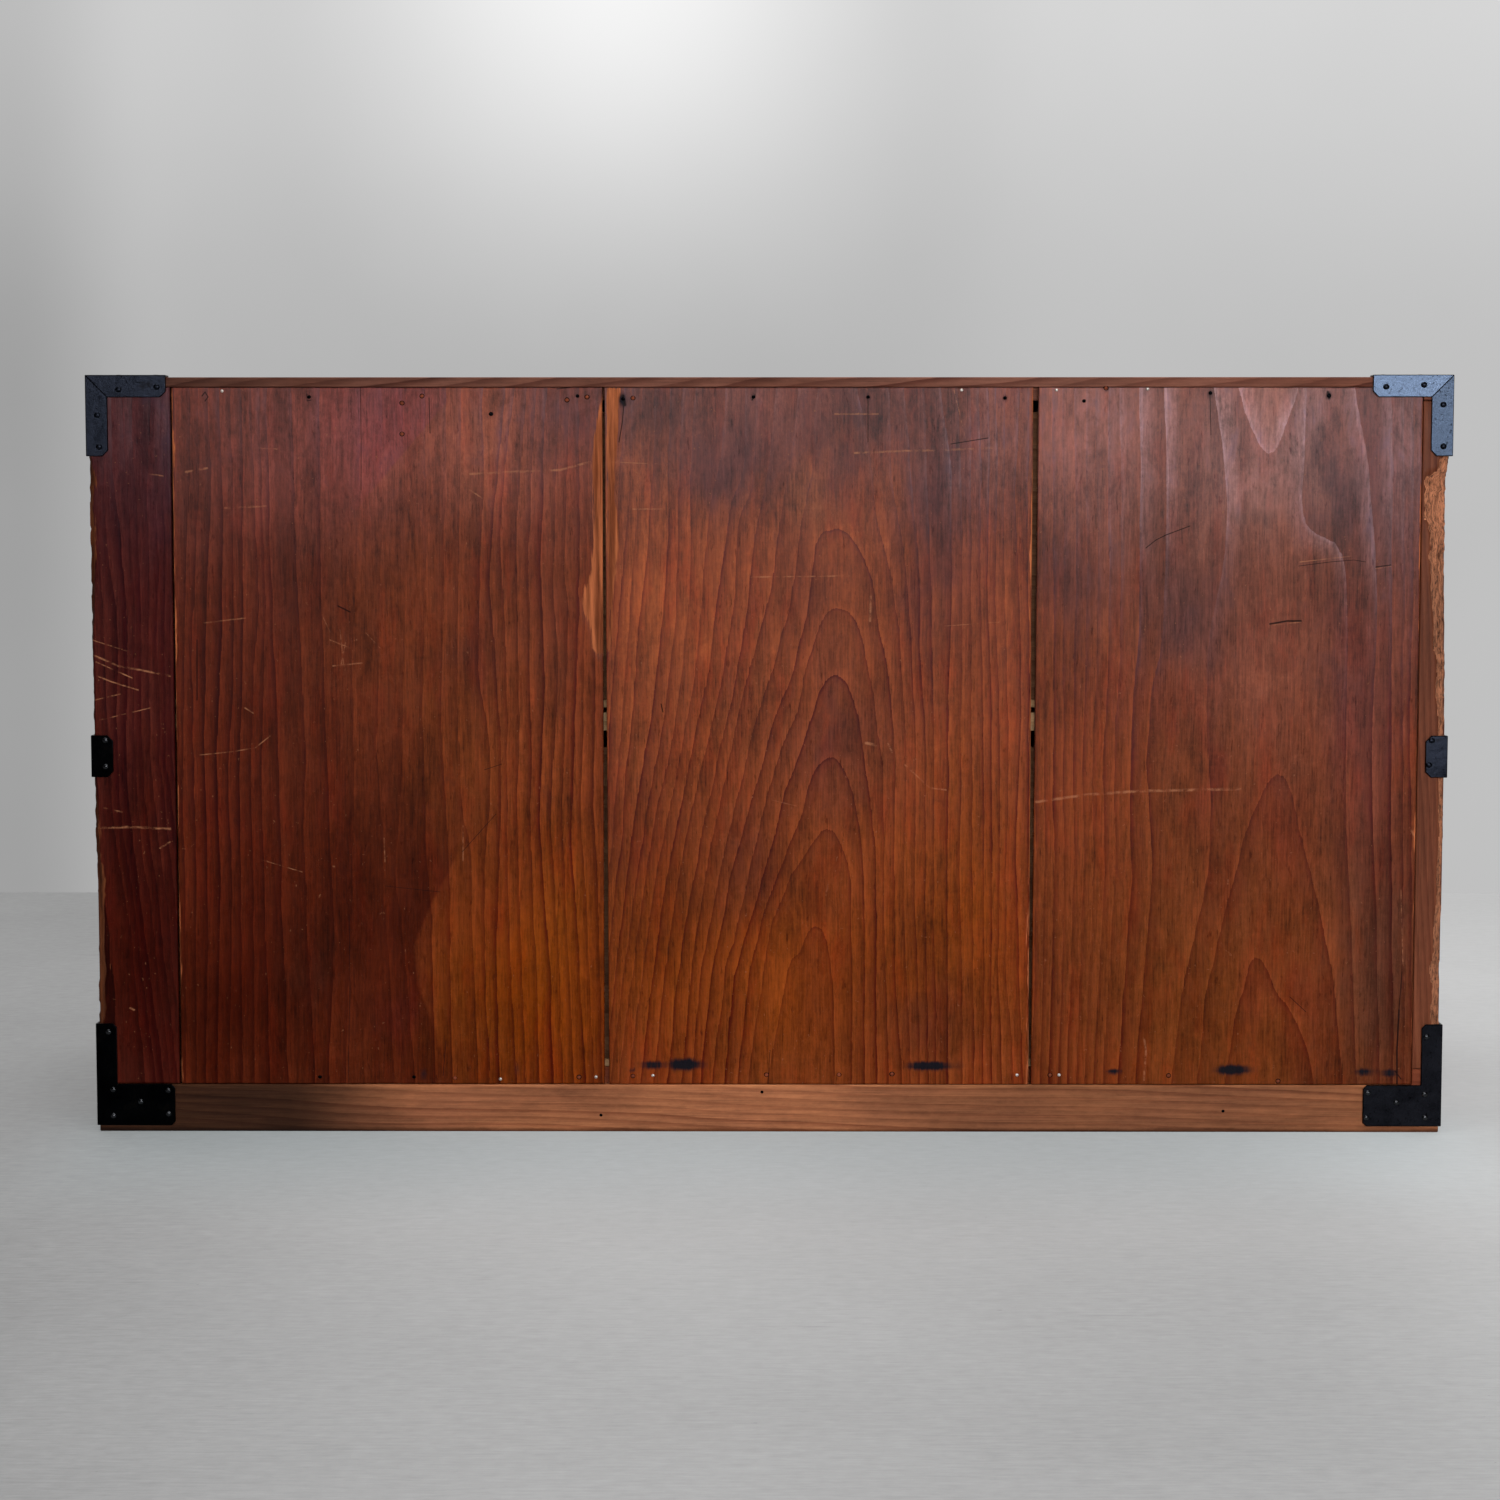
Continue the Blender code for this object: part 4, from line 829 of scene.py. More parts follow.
def boardMaterial(node, s):
    material, tree = newMaterial(node + "_stain")
    place = here(tree)
    noise = noisesOf(tree, place, s["noises"])
    loose, band, dirt, wide, cross, fine, warmth = swings(
        tree, noise, "fibre", "streak", "smudge", "cloud", "ticks", "grit", "warmth")

    # rings: dark up to each traced line, paler past it
    pace, strength, bloom = (painted(tree, name) for name in ("pace", "strength", "bloom"))
    swayStreak, swayFibre = s["sway"]
    sway = weigh(tree, times(tree, band, swayStreak), (loose, swayFibre))
    share, each = splitRing(tree, weigh(tree, painted(tree, "ring"), (sway, pace)))
    within = calc(tree, "DIVIDE", calc(tree, "SUBTRACT", 1.0, share), pace)
    beyond = calc(tree, "DIVIDE", share, pace)
    narrow, sharp, broad, soft = s["line"]
    line = weigh(tree, fade(tree, within, broad, 0.0, 0.0, soft), (fade(tree, within, narrow, 0.0), sharp))
    varied = weigh(tree, 0.45, (each, 0.6))
    late = times(tree, times(tree, line, varied), strength)
    late = times(tree, late, weigh(tree, 1.0, (dirt, 2.2)))
    late = calc(tree, "MULTIPLY", late, weigh(tree, 1.0, (bloom, 0.5)), clamp=True)
    stain = painted(tree, "stain", "Color")
    # dense wood turns pale lilac in the painted sheen
    dense = mixColour(tree, bloom, tinted(tree, stain, s["denseTint"]), s["denseShine"])
    colour = mixColour(tree, late, stain, dense)
    reach, paler = s["lift"]
    lift = times(tree, fade(tree, beyond, reach, 0.0, 0.0, paler), strength)
    colour = scaled(tree, colour, calc(tree, "ADD", lift, 1.0))
    rimWidth, rimShare = s["rim"]
    # painted shade on the dark side of each ring, inside the painted sheen
    rim = times(tree, fade(tree, beyond, rimWidth, 0.0), times(tree, bloom, rimShare))
    colour = mixColour(tree, times(tree, rim, varied), colour, tinted(tree, stain, s["rimTint"]))
    for k, (_, soft, _, tint) in enumerate(s["zones"]):
        inside = weigh(tree, painted(tree, "zone%d" % k), (loose, 3.0))
        inside = times(tree, fade(tree, inside, -soft, soft), painted(tree, "zoneReach%d" % k))
        colour = washed(tree, inside, colour, tint)

    # fibres, dirt and rubbing, and painted sheen towards the top
    height = axesOf(tree, place)[2]
    upper = fade(tree, height, *s["upper"])
    dirt = times(tree, dirt, weigh(tree, 1.0, (upper, 0.5)))
    fine = times(tree, fine, weigh(tree, 1.0, (upper, 0.7)))
    tone = weigh(
        tree, 0.96, (loose, 1.4), (band, 0.50), (dirt, 1.15), (fine, 0.95), (wide, 1.2), (cross, 0.20))
    colour = scaled(tree, colour, calc(tree, "MAXIMUM", tone, 0.25))
    for value, (span, tint) in ((warmth, s["warm"]), (dirt, s["grime"]), (noise["rubbing"], s["rubbed"])):
        colour = washed(tree, fade(tree, value, *span), colour, tint)
    # painted sheen: a pale wash high on the board, patchy with clouds and dirt, and a cool wash rising from
    # the foot
    dust = times(tree, upper, weigh(tree, 1.0, (wide, 1.5)))
    dust = times(tree, dust, weigh(tree, 1.0, (dirt, 1.5)))
    for tint, amount in ((s["dust"], dust), (s["haze"], fade(tree, height, *s["hazy"]))):
        colour = vectorCalc(tree, "ADD", colour, scaled(tree, tint, amount))
    span, tone = s["speck"]
    colour = mixColour(tree, fade(tree, noise["specks"], *span), colour, tone)
    span, tint = s["fleck"]
    colour = washed(tree, fade(tree, noise["flecks"], *span), colour, tint)

    # torn wood, scorch marks, scratches and cracks
    bare = fade(tree, weigh(tree, painted(tree, "bare"), (loose, 8.0), (band, 7.0)), -0.8, 0.9)
    raw = mixColour(tree, fade(tree, noise["streak"], 0.32, 0.68), *s["rawTones"])
    raw = scaled(tree, raw, weigh(tree, s["rawTone"], (loose, 1.6 * s["rawTone"])))
    colour = mixColour(tree, bare, colour, raw)
    scorch = fade(tree, weigh(tree, painted(tree, "soot"), (loose, 0.7), (band, 0.6)), 0.20, 0.80)
    colour = mixColour(tree, scorch, colour, s["sootTone"])
    flat = vectorCalc(tree, "MULTIPLY", place, (1, 0, 1))
    scratch = lineMask(tree, flat, s["scratches"], markSetup)
    scratch = times(tree, scratch, fade(tree, noise["dashes"], 0.40, 0.66))
    colour = mixColour(tree, times(tree, scratch, s["scratchShare"]), colour, s["scratchTone"])
    if s["cracks"]:
        crack = lineMask(tree, flat, s["cracks"], markSetup)
        colour = mixColour(tree, times(tree, crack, s["crackShare"]), colour, s["crackTone"])
    bumps = weigh(tree, noise["fibre"], (late, -0.4), (dirt, 0.8), (fine, 0.7))
    rough = weigh(tree, 0.27, (wide, 0.15), (dirt, 0.35), (bare, 0.4))
    finishSurface(tree, colour, rough, bumps, s["bump"], s["gloss"])
    return material


def gridSteps(length, step, s):
    *ends, first = np.array(s["ends"]) * s["arris"]
    ends = np.array(ends)
    inner = np.linspace(first, length - first, max(3, int(length / step)))
    return np.concatenate([ends, inner, length - ends[::-1]])


def bareness(s, g, u, wide, col, row, lost):
    # how far inside torn or rubbed-off wood each point lies, in picture points, and its ragged part
    bare = np.full(len(u), g["outside"])
    for text in s["bare"]:
        bare = np.maximum(bare, insideBy(col, row, readLine(text)))
    shaggy = softNoise(col, row, 3, 26, 11) + 0.7 * softNoise(col, row, 2, 8, 12)
    fromLeft, fromRight = u * wide / g["point"], (1 - u) * wide / g["point"]
    if "bareLeft" in s:  # a thin raw line along the whole edge
        bare = np.maximum(bare, s["bareLeft"] - fromLeft + shaggy)
    if "bareRight" in s:
        bare = np.maximum(bare, s["bareRight"] - fromRight + shaggy)
    if "worn" in s:
        rawEdge = lost * g["rawReach"] - fromLeft + 2 * shaggy
        bare = np.maximum(bare, np.where(lost > g["rawFrom"], rawEdge, g["outside"]))
    return bare, shaggy


def paintBoard(mesh, s, g, col, row, bare, size, source):
    # grain, stain, wear and painted sheen as layers on the points
    ring = ringField(s["lines"], col, row, ringSetup) + g["firstRing"]
    grid = [a.reshape(size) for a in (ring, col, row)]
    slopes = [np.gradient(grid[0], axis=k) / np.gradient(grid[2 - k], axis=k) for k in (0, 1)]
    uneven = 1 + 0.3 * softNoise(col, row, 70, 160, 9)
    layers = {
        "ring": ring,
        "pace": np.clip(np.hypot(*slopes), *s["paces"]).ravel(),
        "strength": s["strength"] * uneven * (1 - strongest(col, row, s["calm"])),
        # painted sheen high on the board
        "bloom": strongest(col, row, s["bloom"]),
        "bare": bare,
        "soot": strongest(col, row, s["soot"]),
    }
    for k, (text, _, reach, _) in enumerate(s["zones"]):
        layers["zone%d" % k] = insideBy(col, row, readLine(text))
        layers["zoneReach%d" % k] = strongest(col, row, [reach])
    for name, values in layers.items():
        layer = mesh.attributes.new(name, "FLOAT", "POINT")
        layer.data.foreach_set("value", values[source].astype(np.float32))
    shiftCol = 13 * softNoise(col, row, 26, 55, 31) + 9 * softNoise(col, row, 9, 20, 32)
    shiftRow = 22 * softNoise(col, row, 30, 60, 33) + 15 * softNoise(col, row, 7, 24, 34)
    stain = patchwork(col + shiftCol, row + shiftRow, s["base"], s["patches"])
    stain = np.hstack([stain, np.ones((len(stain), 1))])[source].astype(np.float32)
    mesh.attributes.new("stain", "FLOAT_COLOR", "POINT").data.foreach_set("color", stain.ravel())


def backSlab(node, s, g):
    low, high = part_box(node)
    thick, tall = high.y - low.y, high.z - low.z
    corners = np.array([v.co for v in frame["nodes"][node].data.vertices])
    foot = corners[corners[:, 2] < low.z + g["tiny"], 0]
    head = corners[corners[:, 2] > high.z - g["tiny"], 0]
    wide = foot.max() - foot.min()
    across, upwards = gridSteps(wide, g["column"], g), gridSteps(tall, g["row"], g)
    u, v = (a.ravel() for a in np.meshgrid(across / wide, upwards / tall))
    z = low.z + v * tall
    lostFace = lostInside = deepLost = np.zeros(len(z))
    if "worn" in s:
        wideLost, deepLost = wornAt(s["worn"], z)
        lostFace = np.maximum(wideLost, 0)
        lostInside = lostFace * np.clip(1 - thick / np.maximum(deepLost, g["tiny"]), 0, 1)
    left = foot.max() + (head.max() - foot.max()) * v
    right = foot.min() + (head.min() - foot.min()) * v
    x = left - lostFace + (right - left + lostFace) * u
    col, row = onPicture(np.stack([x, np.full(len(x), high.y), z], 1))

    bare, shaggy = bareness(s, g, u, wide, col, row, lostFace)
    edge = np.minimum(np.minimum(u, 1 - u) * wide, np.minimum(v, 1 - v) * tall)
    arris = g["arris"] * (1.1 + 0.5 * softNoise(col, row, 30, 40, 3))
    over = np.clip(arris - edge, 0, None)
    drop = arris - np.sqrt(np.maximum(arris ** 2 - over ** 2, 0))
    drop += g["wave"] * (1 + softNoise(col, row, 90, 260, 7))
    drop += g["tear"] * np.clip(bare / 5 + 0.4, 0, 1) * (0.7 + 0.3 * shaggy)
    y = high.y - np.clip(drop, 0, g["deepest"])

    # the face, then walls from its rim down to the inner face
    index = np.arange(len(x)).reshape(len(upwards), len(across))
    quads = np.stack([index[:-1, :-1], index[:-1, 1:], index[1:, 1:], index[1:, :-1]], -1).reshape(-1, 4)
    rim = np.concatenate([index[0], index[1:, -1], index[-1, -2::-1], index[-2:0:-1, 0]])
    torn = (lostFace[rim] > g["tornFrom"]) & (u[rim] == 0)
    points, faces, source = [np.stack([x, y, z], 1)], quads.tolist(), [np.arange(len(x))]
    front, turn = rim, np.roll(np.arange(len(rim)), -1)
    for k, depth in enumerate(g["walls"]):
        steep = np.clip(depth * thick / np.maximum(deepLost[rim], g["tiny"]), 0, 1)
        give = np.where(u[rim] == 0, (lostFace - lostInside)[rim] * steep, 0)
        bite = np.where(torn & (depth < 1), g["bite"], 0)
        bite = bite * softNoise(z[rim], z[rim] * 0 + k, 0.004, 1, 21)
        points.append(np.stack([x[rim] + give - bite, y[rim] + (low.y - y[rim]) * depth, z[rim]], 1))
        source.append(rim)
        back = len(x) + k * len(rim) + np.arange(len(rim))
        faces += np.stack([front, back, back[turn], front[turn]], 1).tolist()
        front = back
    faces.append(front[::-1].tolist())

    mesh = bpy.data.meshes.new(node + "_board")
    mesh.from_pydata(np.concatenate(points).tolist(), [], faces)
    bare[rim] = np.where(torn, g["torn"], bare[rim])
    paintBoard(mesh, s, g, col, row, bare, index.shape, np.concatenate(source))
    mesh.materials.append(boardMaterial(node, s))
    mesh.shade_smooth()
    mesh.set_sharp_from_angle(angle=g["sharp"])
    return placed(bpy.data.objects.new(node + "_board", mesh), node)


# plain stained and bare woods, with rings round a tilted heart line

woods = {
    "topWood": {
        "order": (1, 2, 0), "heart": (0.03, 0.36), "tilt": (0.02, -0.16), "rings": 150, "sway": 0.020,
        "early": (0.118, 0.040, 0.024), "other": (0.168, 0.066, 0.044), "late": (0.42, 0.30, 0.28),
        "rough": 0.56, "gloss": 0.05,
        "shades": [(0.53, 0.47), (0.1, 0.95), (-0.53, 1.10)],
    },
    "sideWood": {
        "order": (1, 0, 2), "heart": (0.04, 0.10), "tilt": (0.03, 0.06), "rings": 190, "sway": 0.014,
        "early": (0.132, 0.039, 0.018), "other": (0.104, 0.030, 0.014), "late": (0.58, 0.45, 0.45),
        "rough": 0.40,
    },
    "rearRailWood": {
        "order": (2, 1, 0), "heart": (-0.16, 0.12), "tilt": (0.035, 0.02), "rings": 190, "sway": 0.012,
        "early": (0.315, 0.116, 0.050), "other": (0.235, 0.086, 0.040), "late": (0.62, 0.52, 0.50),
        "rough": 0.55,
        "bands": [
            (0.0379, 0.0384, (0.55, 0.36, 0.36)), (0.0350, 0.0362, (1.25, 1.25, 1.2)),
            # the lowest band darkens the foot of the rail: painted shadow
            (0.0040, 0.0008, (0.4, 0.35, 0.3)),
        ],
        "shades": [(0.385, 0.13), (0.25, 1.08), (0.16, 0.95), (0.01, 1.2), (-0.2, 0.7), (-0.44, 0.75)],
    },
    "railWood": {
        "order": (2, 1, 0), "heart": (-0.12, 0.10), "tilt": (0.03, 0.03), "rings": 170, "sway": 0.012,
        "early": (0.140, 0.034, 0.014), "other": (0.105, 0.022, 0.010), "late": (0.42, 0.30, 0.30),
        "rough": 0.42,
    },
    "drawerFrontWood": {
        "order": (2, 1, 0), "heart": (0.20, 0.02), "tilt": (0.05, 0.07), "rings": 120, "sway": 0.018,
        "early": (0.150, 0.033, 0.0115), "other": (0.110, 0.021, 0.0085), "late": (0.42, 0.28, 0.28),
        "rough": 0.30, "gloss": 0.16,
    },
    "bareAcross": {
        "order": (2, 1, 0), "heart": (0.16, 0.0), "tilt": (0.04, 0.05), "rings": 140, "sway": 0.014,
        "early": (0.420, 0.270, 0.140), "other": (0.345, 0.205, 0.105), "late": (0.66, 0.56, 0.48),
        "rough": 0.66,
    },
    "bareLengthways": {
        "order": (2, 0, 1), "heart": (0.10, 0.42), "tilt": (0.05, 0.06), "rings": 140, "sway": 0.014,
        "early": (0.400, 0.255, 0.130), "other": (0.330, 0.195, 0.100), "late": (0.66, 0.56, 0.48),
        "rough": 0.66,
    },
    "agedAcross": {
        "order": (2, 1, 0), "heart": (0.16, 0.0), "tilt": (0.04, 0.05), "rings": 140, "sway": 0.014,
        "early": (0.120, 0.055, 0.026), "other": (0.085, 0.038, 0.019), "late": (0.60, 0.50, 0.45),
        "rough": 0.66,
    },
    "bareFlat": {
        "order": (1, 2, 0), "heart": (0.05, 0.30), "tilt": (0.04, 0.05), "rings": 120, "sway": 0.014,
        "early": (0.410, 0.260, 0.135), "other": (0.340, 0.200, 0.102), "late": (0.68, 0.58, 0.50),
        "rough": 0.68,
    },
}
woodLook = {  # what all these woods share
    "noises": {
        "fibre": ((1000, 1000, 15), 2),
        "streak": ((190, 190, 4.5), 3),
        "cloud": ((14, 14, 5), 4, 0.6),
        "drift": ((7, 7, 2.2), 2),
        "smudge": ((60, 60, 16), 7, 0.68, 0.4),
        "grit": ((380, 380, 130), 4, 0.7),
        "marks": ((60, 60, 25), 5, 0.7),
    },
    "shades": [],  # darker and paler lengths: place along the grain, tone
    "bands": [],  # lengthways bands of wear, dirt and painted shadow: from, to, tint
    "markTone": (0.030, 0.012, 0.008),
    "bump": 0.0002,
    "gloss": 0.06,
}


def woodMaterial(name, s):
    # order says which axes run across the grain, across it again, and along it
    material, tree = newMaterial(name)
    axes = axesOf(tree, here(tree))
    a, b, along = (axes[k] for k in s["order"])
    joined = tree.nodes.new("ShaderNodeCombineXYZ")
    for socket, value in zip(joined.inputs, (a, b, along)):
        feed(tree, socket, value)
    noise = noisesOf(tree, joined.outputs[0], s["noises"])
    loose, band, cloud, drift, smudge, grit = swings(
        tree, noise, "fibre", "streak", "cloud", "drift", "smudge", "grit")
    offA, offB = (
        calc(tree, "SUBTRACT", side, weigh(tree, heart, (along, tilt)))
        for side, heart, tilt in zip((a, b), s["heart"], s["tilt"]))
    reach = calc(tree, "SQRT", weigh(tree, times(tree, offB, offB), (offA, offA)))
    reach = weigh(tree, reach, (drift, s["sway"] * 2))
    share, each = splitRing(tree, weigh(tree, times(tree, loose, 0.07), (reach, s["rings"]), (band, 0.22)))
    line = times(tree, fade(tree, share, 0.25, 0.92), fade(tree, share, 0.92, 1.0, 1.0, 0.0))
    late = times(tree, line, weigh(tree, 0.4, (each, 0.6)))
    early = mixColour(tree, fade(tree, noise["cloud"], 0.35, 0.65), s["early"], s["other"])
    colour = washed(tree, late, early, s["late"])
    tone = weigh(tree, 1.0, (loose, 0.8), (band, 0.6), (smudge, 0.8), (grit, 0.6))
    colour = scaled(tree, colour, calc(tree, "MAXIMUM", tone, 0.25))
    marks = fade(tree, noise["marks"], 0.68, 0.80)  # knocks and dark specks
    colour = mixColour(tree, times(tree, marks, 0.5), colour, s["markTone"])
    if s["shades"]:
        shade = s["shades"][0][1]
        for (start, low), (end, high) in zip(s["shades"], s["shades"][1:]):
            shade = calc(tree, "ADD", shade, fade(tree, along, start, end, 0.0, high - low))
        colour = scaled(tree, colour, shade)
    # lengthways bands; on the rear rail one is painted shadow along its foot
    for start, end, tint in s["bands"]:
        wander = weigh(tree, a, (smudge, 0.004))
        colour = washed(tree, fade(tree, wander, start, end), colour, tint)
    bumps = weigh(tree, noise["fibre"], (late, -0.4), (marks, -0.6), (grit, 0.5))
    finishSurface(tree, colour, weigh(tree, s["rough"], (cloud, 0.25)), bumps, s["bump"], s["gloss"])
    return material


tornLook = {
    "noises": {
        "fibre": ((620, 620, 150), 4, 0.7),
        "lump": ((180, 180, 60), 4, 0.7),
        "pits": ((430, 430, 300), 4, 0.72),
    },
    "tones": ((0.070, 0.021, 0.009), (0.560, 0.214, 0.106)),
    "upwards": (0.435, 0.475, 0.66, 0.98),  # heights, and the tones there
    "sideways": (-0.1, 0.1, 1.0, 0.30),  # right and left corner, and their tones
    "rough": 0.72,
    "bump": 0.0009,
    "gloss": 0.15,
}


def tornMaterial(s):
    # torn wood at the worn corners: short dark and orange fibres, paler high up on one side
    material, tree = newMaterial("tornWood")
    place = here(tree)
    noise = noisesOf(tree, place, s["noises"])
    fibre, lump = noise["fibre"], noise["lump"]
    pale = fade(tree, weigh(tree, times(tree, lump, 0.4), (fibre, 0.7)), 0.38, 0.68)
    x, _, z = axesOf(tree, place)
    tone = times(tree, fade(tree, z, *s["upwards"]), fade(tree, x, *s["sideways"]))
    pits = fade(tree, noise["pits"], 0.54, 0.64, 0.0, 0.62)
    tone = times(tree, tone, calc(tree, "SUBTRACT", 1.0, pits))
    colour = scaled(tree, mixColour(tree, pale, *s["tones"]), tone)
    finishSurface(tree, colour, s["rough"], calc(tree, "ADD", fibre, lump), s["bump"], s["gloss"])
    return material


woodOf = {name: woodMaterial(name, {**woodLook, **s}) for name, s in woods.items()}
tornWood = tornMaterial(tornLook)
print("woods ready:", len(woodOf))


# iron straps, nails and handles

irons = {
    "blackIron": {"base": (0.0012, 0.0013, 0.0016), "rust": (0.004, 0.003, 0.002), "rough": 0.34},
    # black iron a little paler: painted reflection on the right foot strap
    "sootIron": {"base": (0.0077, 0.0081, 0.0108), "rust": (0.007, 0.005, 0.004), "rough": 0.36},
    "darkIron": {"base": (0.0085, 0.0100, 0.0148), "rust": (0.014, 0.010, 0.008), "rough": 0.34},
    # paler than black iron: painted reflection on the top left strap and the right clip
    "midIron": {"base": (0.0122, 0.0145, 0.0218), "rust": (0.010, 0.008, 0.007), "rough": 0.34},
    # pale blue-grey iron: painted reflection of the lamps on the top right strap
    "greyIron": {"base": (0.0545, 0.075, 0.115), "rust": (0.020, 0.020, 0.024), "rough": 0.42, "fold": 0.60},
    "wornNail": {"base": (0.030, 0.031, 0.034), "rust": (0.012, 0.009, 0.008), "rough": 0.22},
    "brightNail": {"base": (0.42, 0.38, 0.34), "rust": (0.14, 0.06, 0.03), "rough": 0.4, "metal": 0.9},
}
ironLook = {  # what all irons share
    "noises": {
        "dents": ((220, 220, 220), 4, 0.6),
        "grit": ((1100, 1100, 1100), 3, 0.6),
        "blotch": ((60, 60, 60), 5, 0.68),
        "pits": ((420, 420, 420), 4, 0.7),
    },
    "metal": 1.0,
    "foldLine": (0.0645, 0.0635),  # x and z together, above and below the fold
    "bump": 0.00016,
    "gloss": 0.4,
}


def ironMaterial(name, s):
    material, tree = newMaterial(name)
    place = here(tree)
    noise = noisesOf(tree, place, s["noises"])
    grit, blotch = noise["grit"], noise["blotch"]
    fine, wide = swings(tree, noise, "grit", "blotch")
    tone = weigh(tree, 0.15, (blotch, 1.7), (fine, 1.8))
    colour = scaled(tree, s["base"], calc(tree, "MAXIMUM", tone, 0.2))
    rust = fade(tree, weigh(tree, blotch, (grit, 0.25)), 0.74, 0.86)
    colour = mixColour(tree, times(tree, rust, 0.5), colour, s["rust"])
    pits = fade(tree, noise["pits"], 0.58, 0.66, 0.0, 0.75)
    colour = scaled(tree, colour, calc(tree, "SUBTRACT", 1.0, pits))
    if "fold" in s:  # the upright arm below the fold is darker, with less of the painted reflection
        x, _, z = axesOf(tree, place)
        colour = scaled(tree, colour, fade(tree, calc(tree, "ADD", x, z), *s["foldLine"], 1.0, s["fold"]))
    rough = weigh(tree, s["rough"], (wide, 0.35), (rust, 0.25))
    bumps = weigh(tree, noise["dents"], (grit, 0.12))
    finishSurface(tree, colour, rough, bumps, s["bump"], s["gloss"], s["metal"])
    return material


ironOf = {name: ironMaterial(name, {**ironLook, **s}) for name, s in irons.items()}
domeSetup = {
    "sides": 14,
    "profile": ((1.0, 0.12), (0.93, 0.45), (0.70, 0.78), (0.38, 0.95)),  # shares of radius and height
    "oval": 0.08, "uneven": 0.05,
    "sink": 0.0004,  # how far the foot goes into the iron
}


def addDome(shape, place, outwards, radius, height, seed, sink=domeSetup["sink"], slot=0, s=domeSetup):
    # a hand-made nail head: low dome, not quite round
    rng = np.random.RandomState(seed)
    turn = Vector((0, 0, 1)).rotation_difference(Vector(outwards)).to_matrix()
    squeeze = 1 + s["oval"] * rng.rand()
    sides = s["sides"]
    pairs = [(k, (k + 1) % sides) for k in range(sides)]
    rings = []
    for share, lift in ((1.0, -sink / height), *s["profile"]):
        ring = []
        for k in range(sides):
            angle = 2 * math.pi * k / sides
            r = radius * share * (1 + s["uneven"] * (rng.rand() - 0.5))
            flat = Vector((r * math.cos(angle) * squeeze, r * math.sin(angle) / squeeze, height * lift))
            ring.append(shape.verts.new(Vector(place) + turn @ flat))
        rings.append(ring)
    top = shape.verts.new(Vector(place) + turn @ Vector((0, 0, height)))
    made = [shape.faces.new(list(reversed(rings[0])))]
    for low, high in zip(rings, rings[1:]):
        made += [shape.faces.new((low[a], low[b], high[b], high[a])) for a, b in pairs]
    made += [shape.faces.new((rings[-1][a], rings[-1][b], top)) for a, b in pairs]
    for face in made:
        face.smooth = True
        face.material_index = slot
    for a, b in pairs:
        shape.edges.get((rings[0][a], rings[0][b])).smooth = False


strapNails = {  # picture places on the rear faces
    "rear_top_strap_left": "118.3,389.5 156.4,386.8 97,415.1 99,446.9",
    "rear_top_strap_right": "1386.3,386.7 1424.2,384.9 1443.4,404.6 1443.4,446.4",
    "rear_foot_strap_left": "108.6,1032 113.2,1089.6 168.3,1090.4 140.8,1101.6 113.6,1115.7 168.7,1113.6",
    "rear_foot_strap_right":
        "1426.7,1037 1367.8,1092.9 1396.4,1102.5 1424.7,1094.4 1366.1,1117.8 1425,1117.8",
    "rear_clip_left": "105.3,740.3 105.6,766.6",
    "rear_clip_right": "1431.8,740.5 1429,765",
}
flapNails = {  # mm in from the upright edge, and up or down, on the flaps the picture doesn't show
    "top": [(25, -8), (54, -7.5), (8, -29), (8, -54)],
    "foot": [(8, 79), (9, 32), (54, 33), (31, 22), (9, 11), (54, 11)],
    "clip": [(12, 8), (12, -8), (36, 8), (36, -8)],
    "tee": [(8, 11), (8, -11), (33, 0), (54, 0)],
}
nailSetup = {
    "radius": 0.0024, "height": 0.0015, "seed": 100,
    "bevel": 0.0006,
    "flush": 0.3,  # share of the height left on top, where they are hammered in
    "mitre": 0.00025, "mitreHalf": 0.0004,  # depth and half width of the fold lines
    "mitreStart": 0.003,  # how far from the corner they begin
    # the straps high up and on the right get paler iron than the rest: painted reflection of the lamps
    "looks": {
        "rear_top_strap_right": "greyIron", "rear_top_strap_left": "midIron",
        "rear_foot_strap_left": "blackIron", "rear_foot_strap_right": "sootIron",
        "rear_clip_left": "blackIron", "rear_clip_right": "midIron",
    },
}


def strapCorner(node):
    # the top of the strap's upright edge, and the ways inwards from it
    low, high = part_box(node)
    left, rear = low.x > 0, low.y > 0
    corner = Vector((high.x if left else low.x, high.y if rear else low.y, high.z))
    return corner, -1 if left else 1, -1 if rear else 1


def nailPlaces(node):
    # places on each flap, and the way it faces
    (x, y, top), inX, inY = strapCorner(node)
    kind = next(k for k in ("top", "foot", "clip") if k in node)
    base = {"top": top, "foot": 0.0, "clip": (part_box(node)[0].z + top) / 2}[kind]
    if node in strapNails:
        found = [(fromPicture(c, r, y), (0, 1, 0)) for c, r in readLine(strapNails[node])]
    else:
        found = [
            (Vector((x + inX * a * mm, y, base + b * mm)), (0, -inY, 0))
            for a, b in flapNails["tee" if kind == "clip" else kind]]
    for a, b in flapNails[kind]:
        found.append((Vector((x, y + inY * a * mm, base + b * mm)), (-inX, 0, 0)))
    if kind == "top":
        for a, b in flapNails[kind]:
            found.append((Vector((x + inX * a * mm, y - inY * b * mm, top)), (0, 0, 1)))
    return found


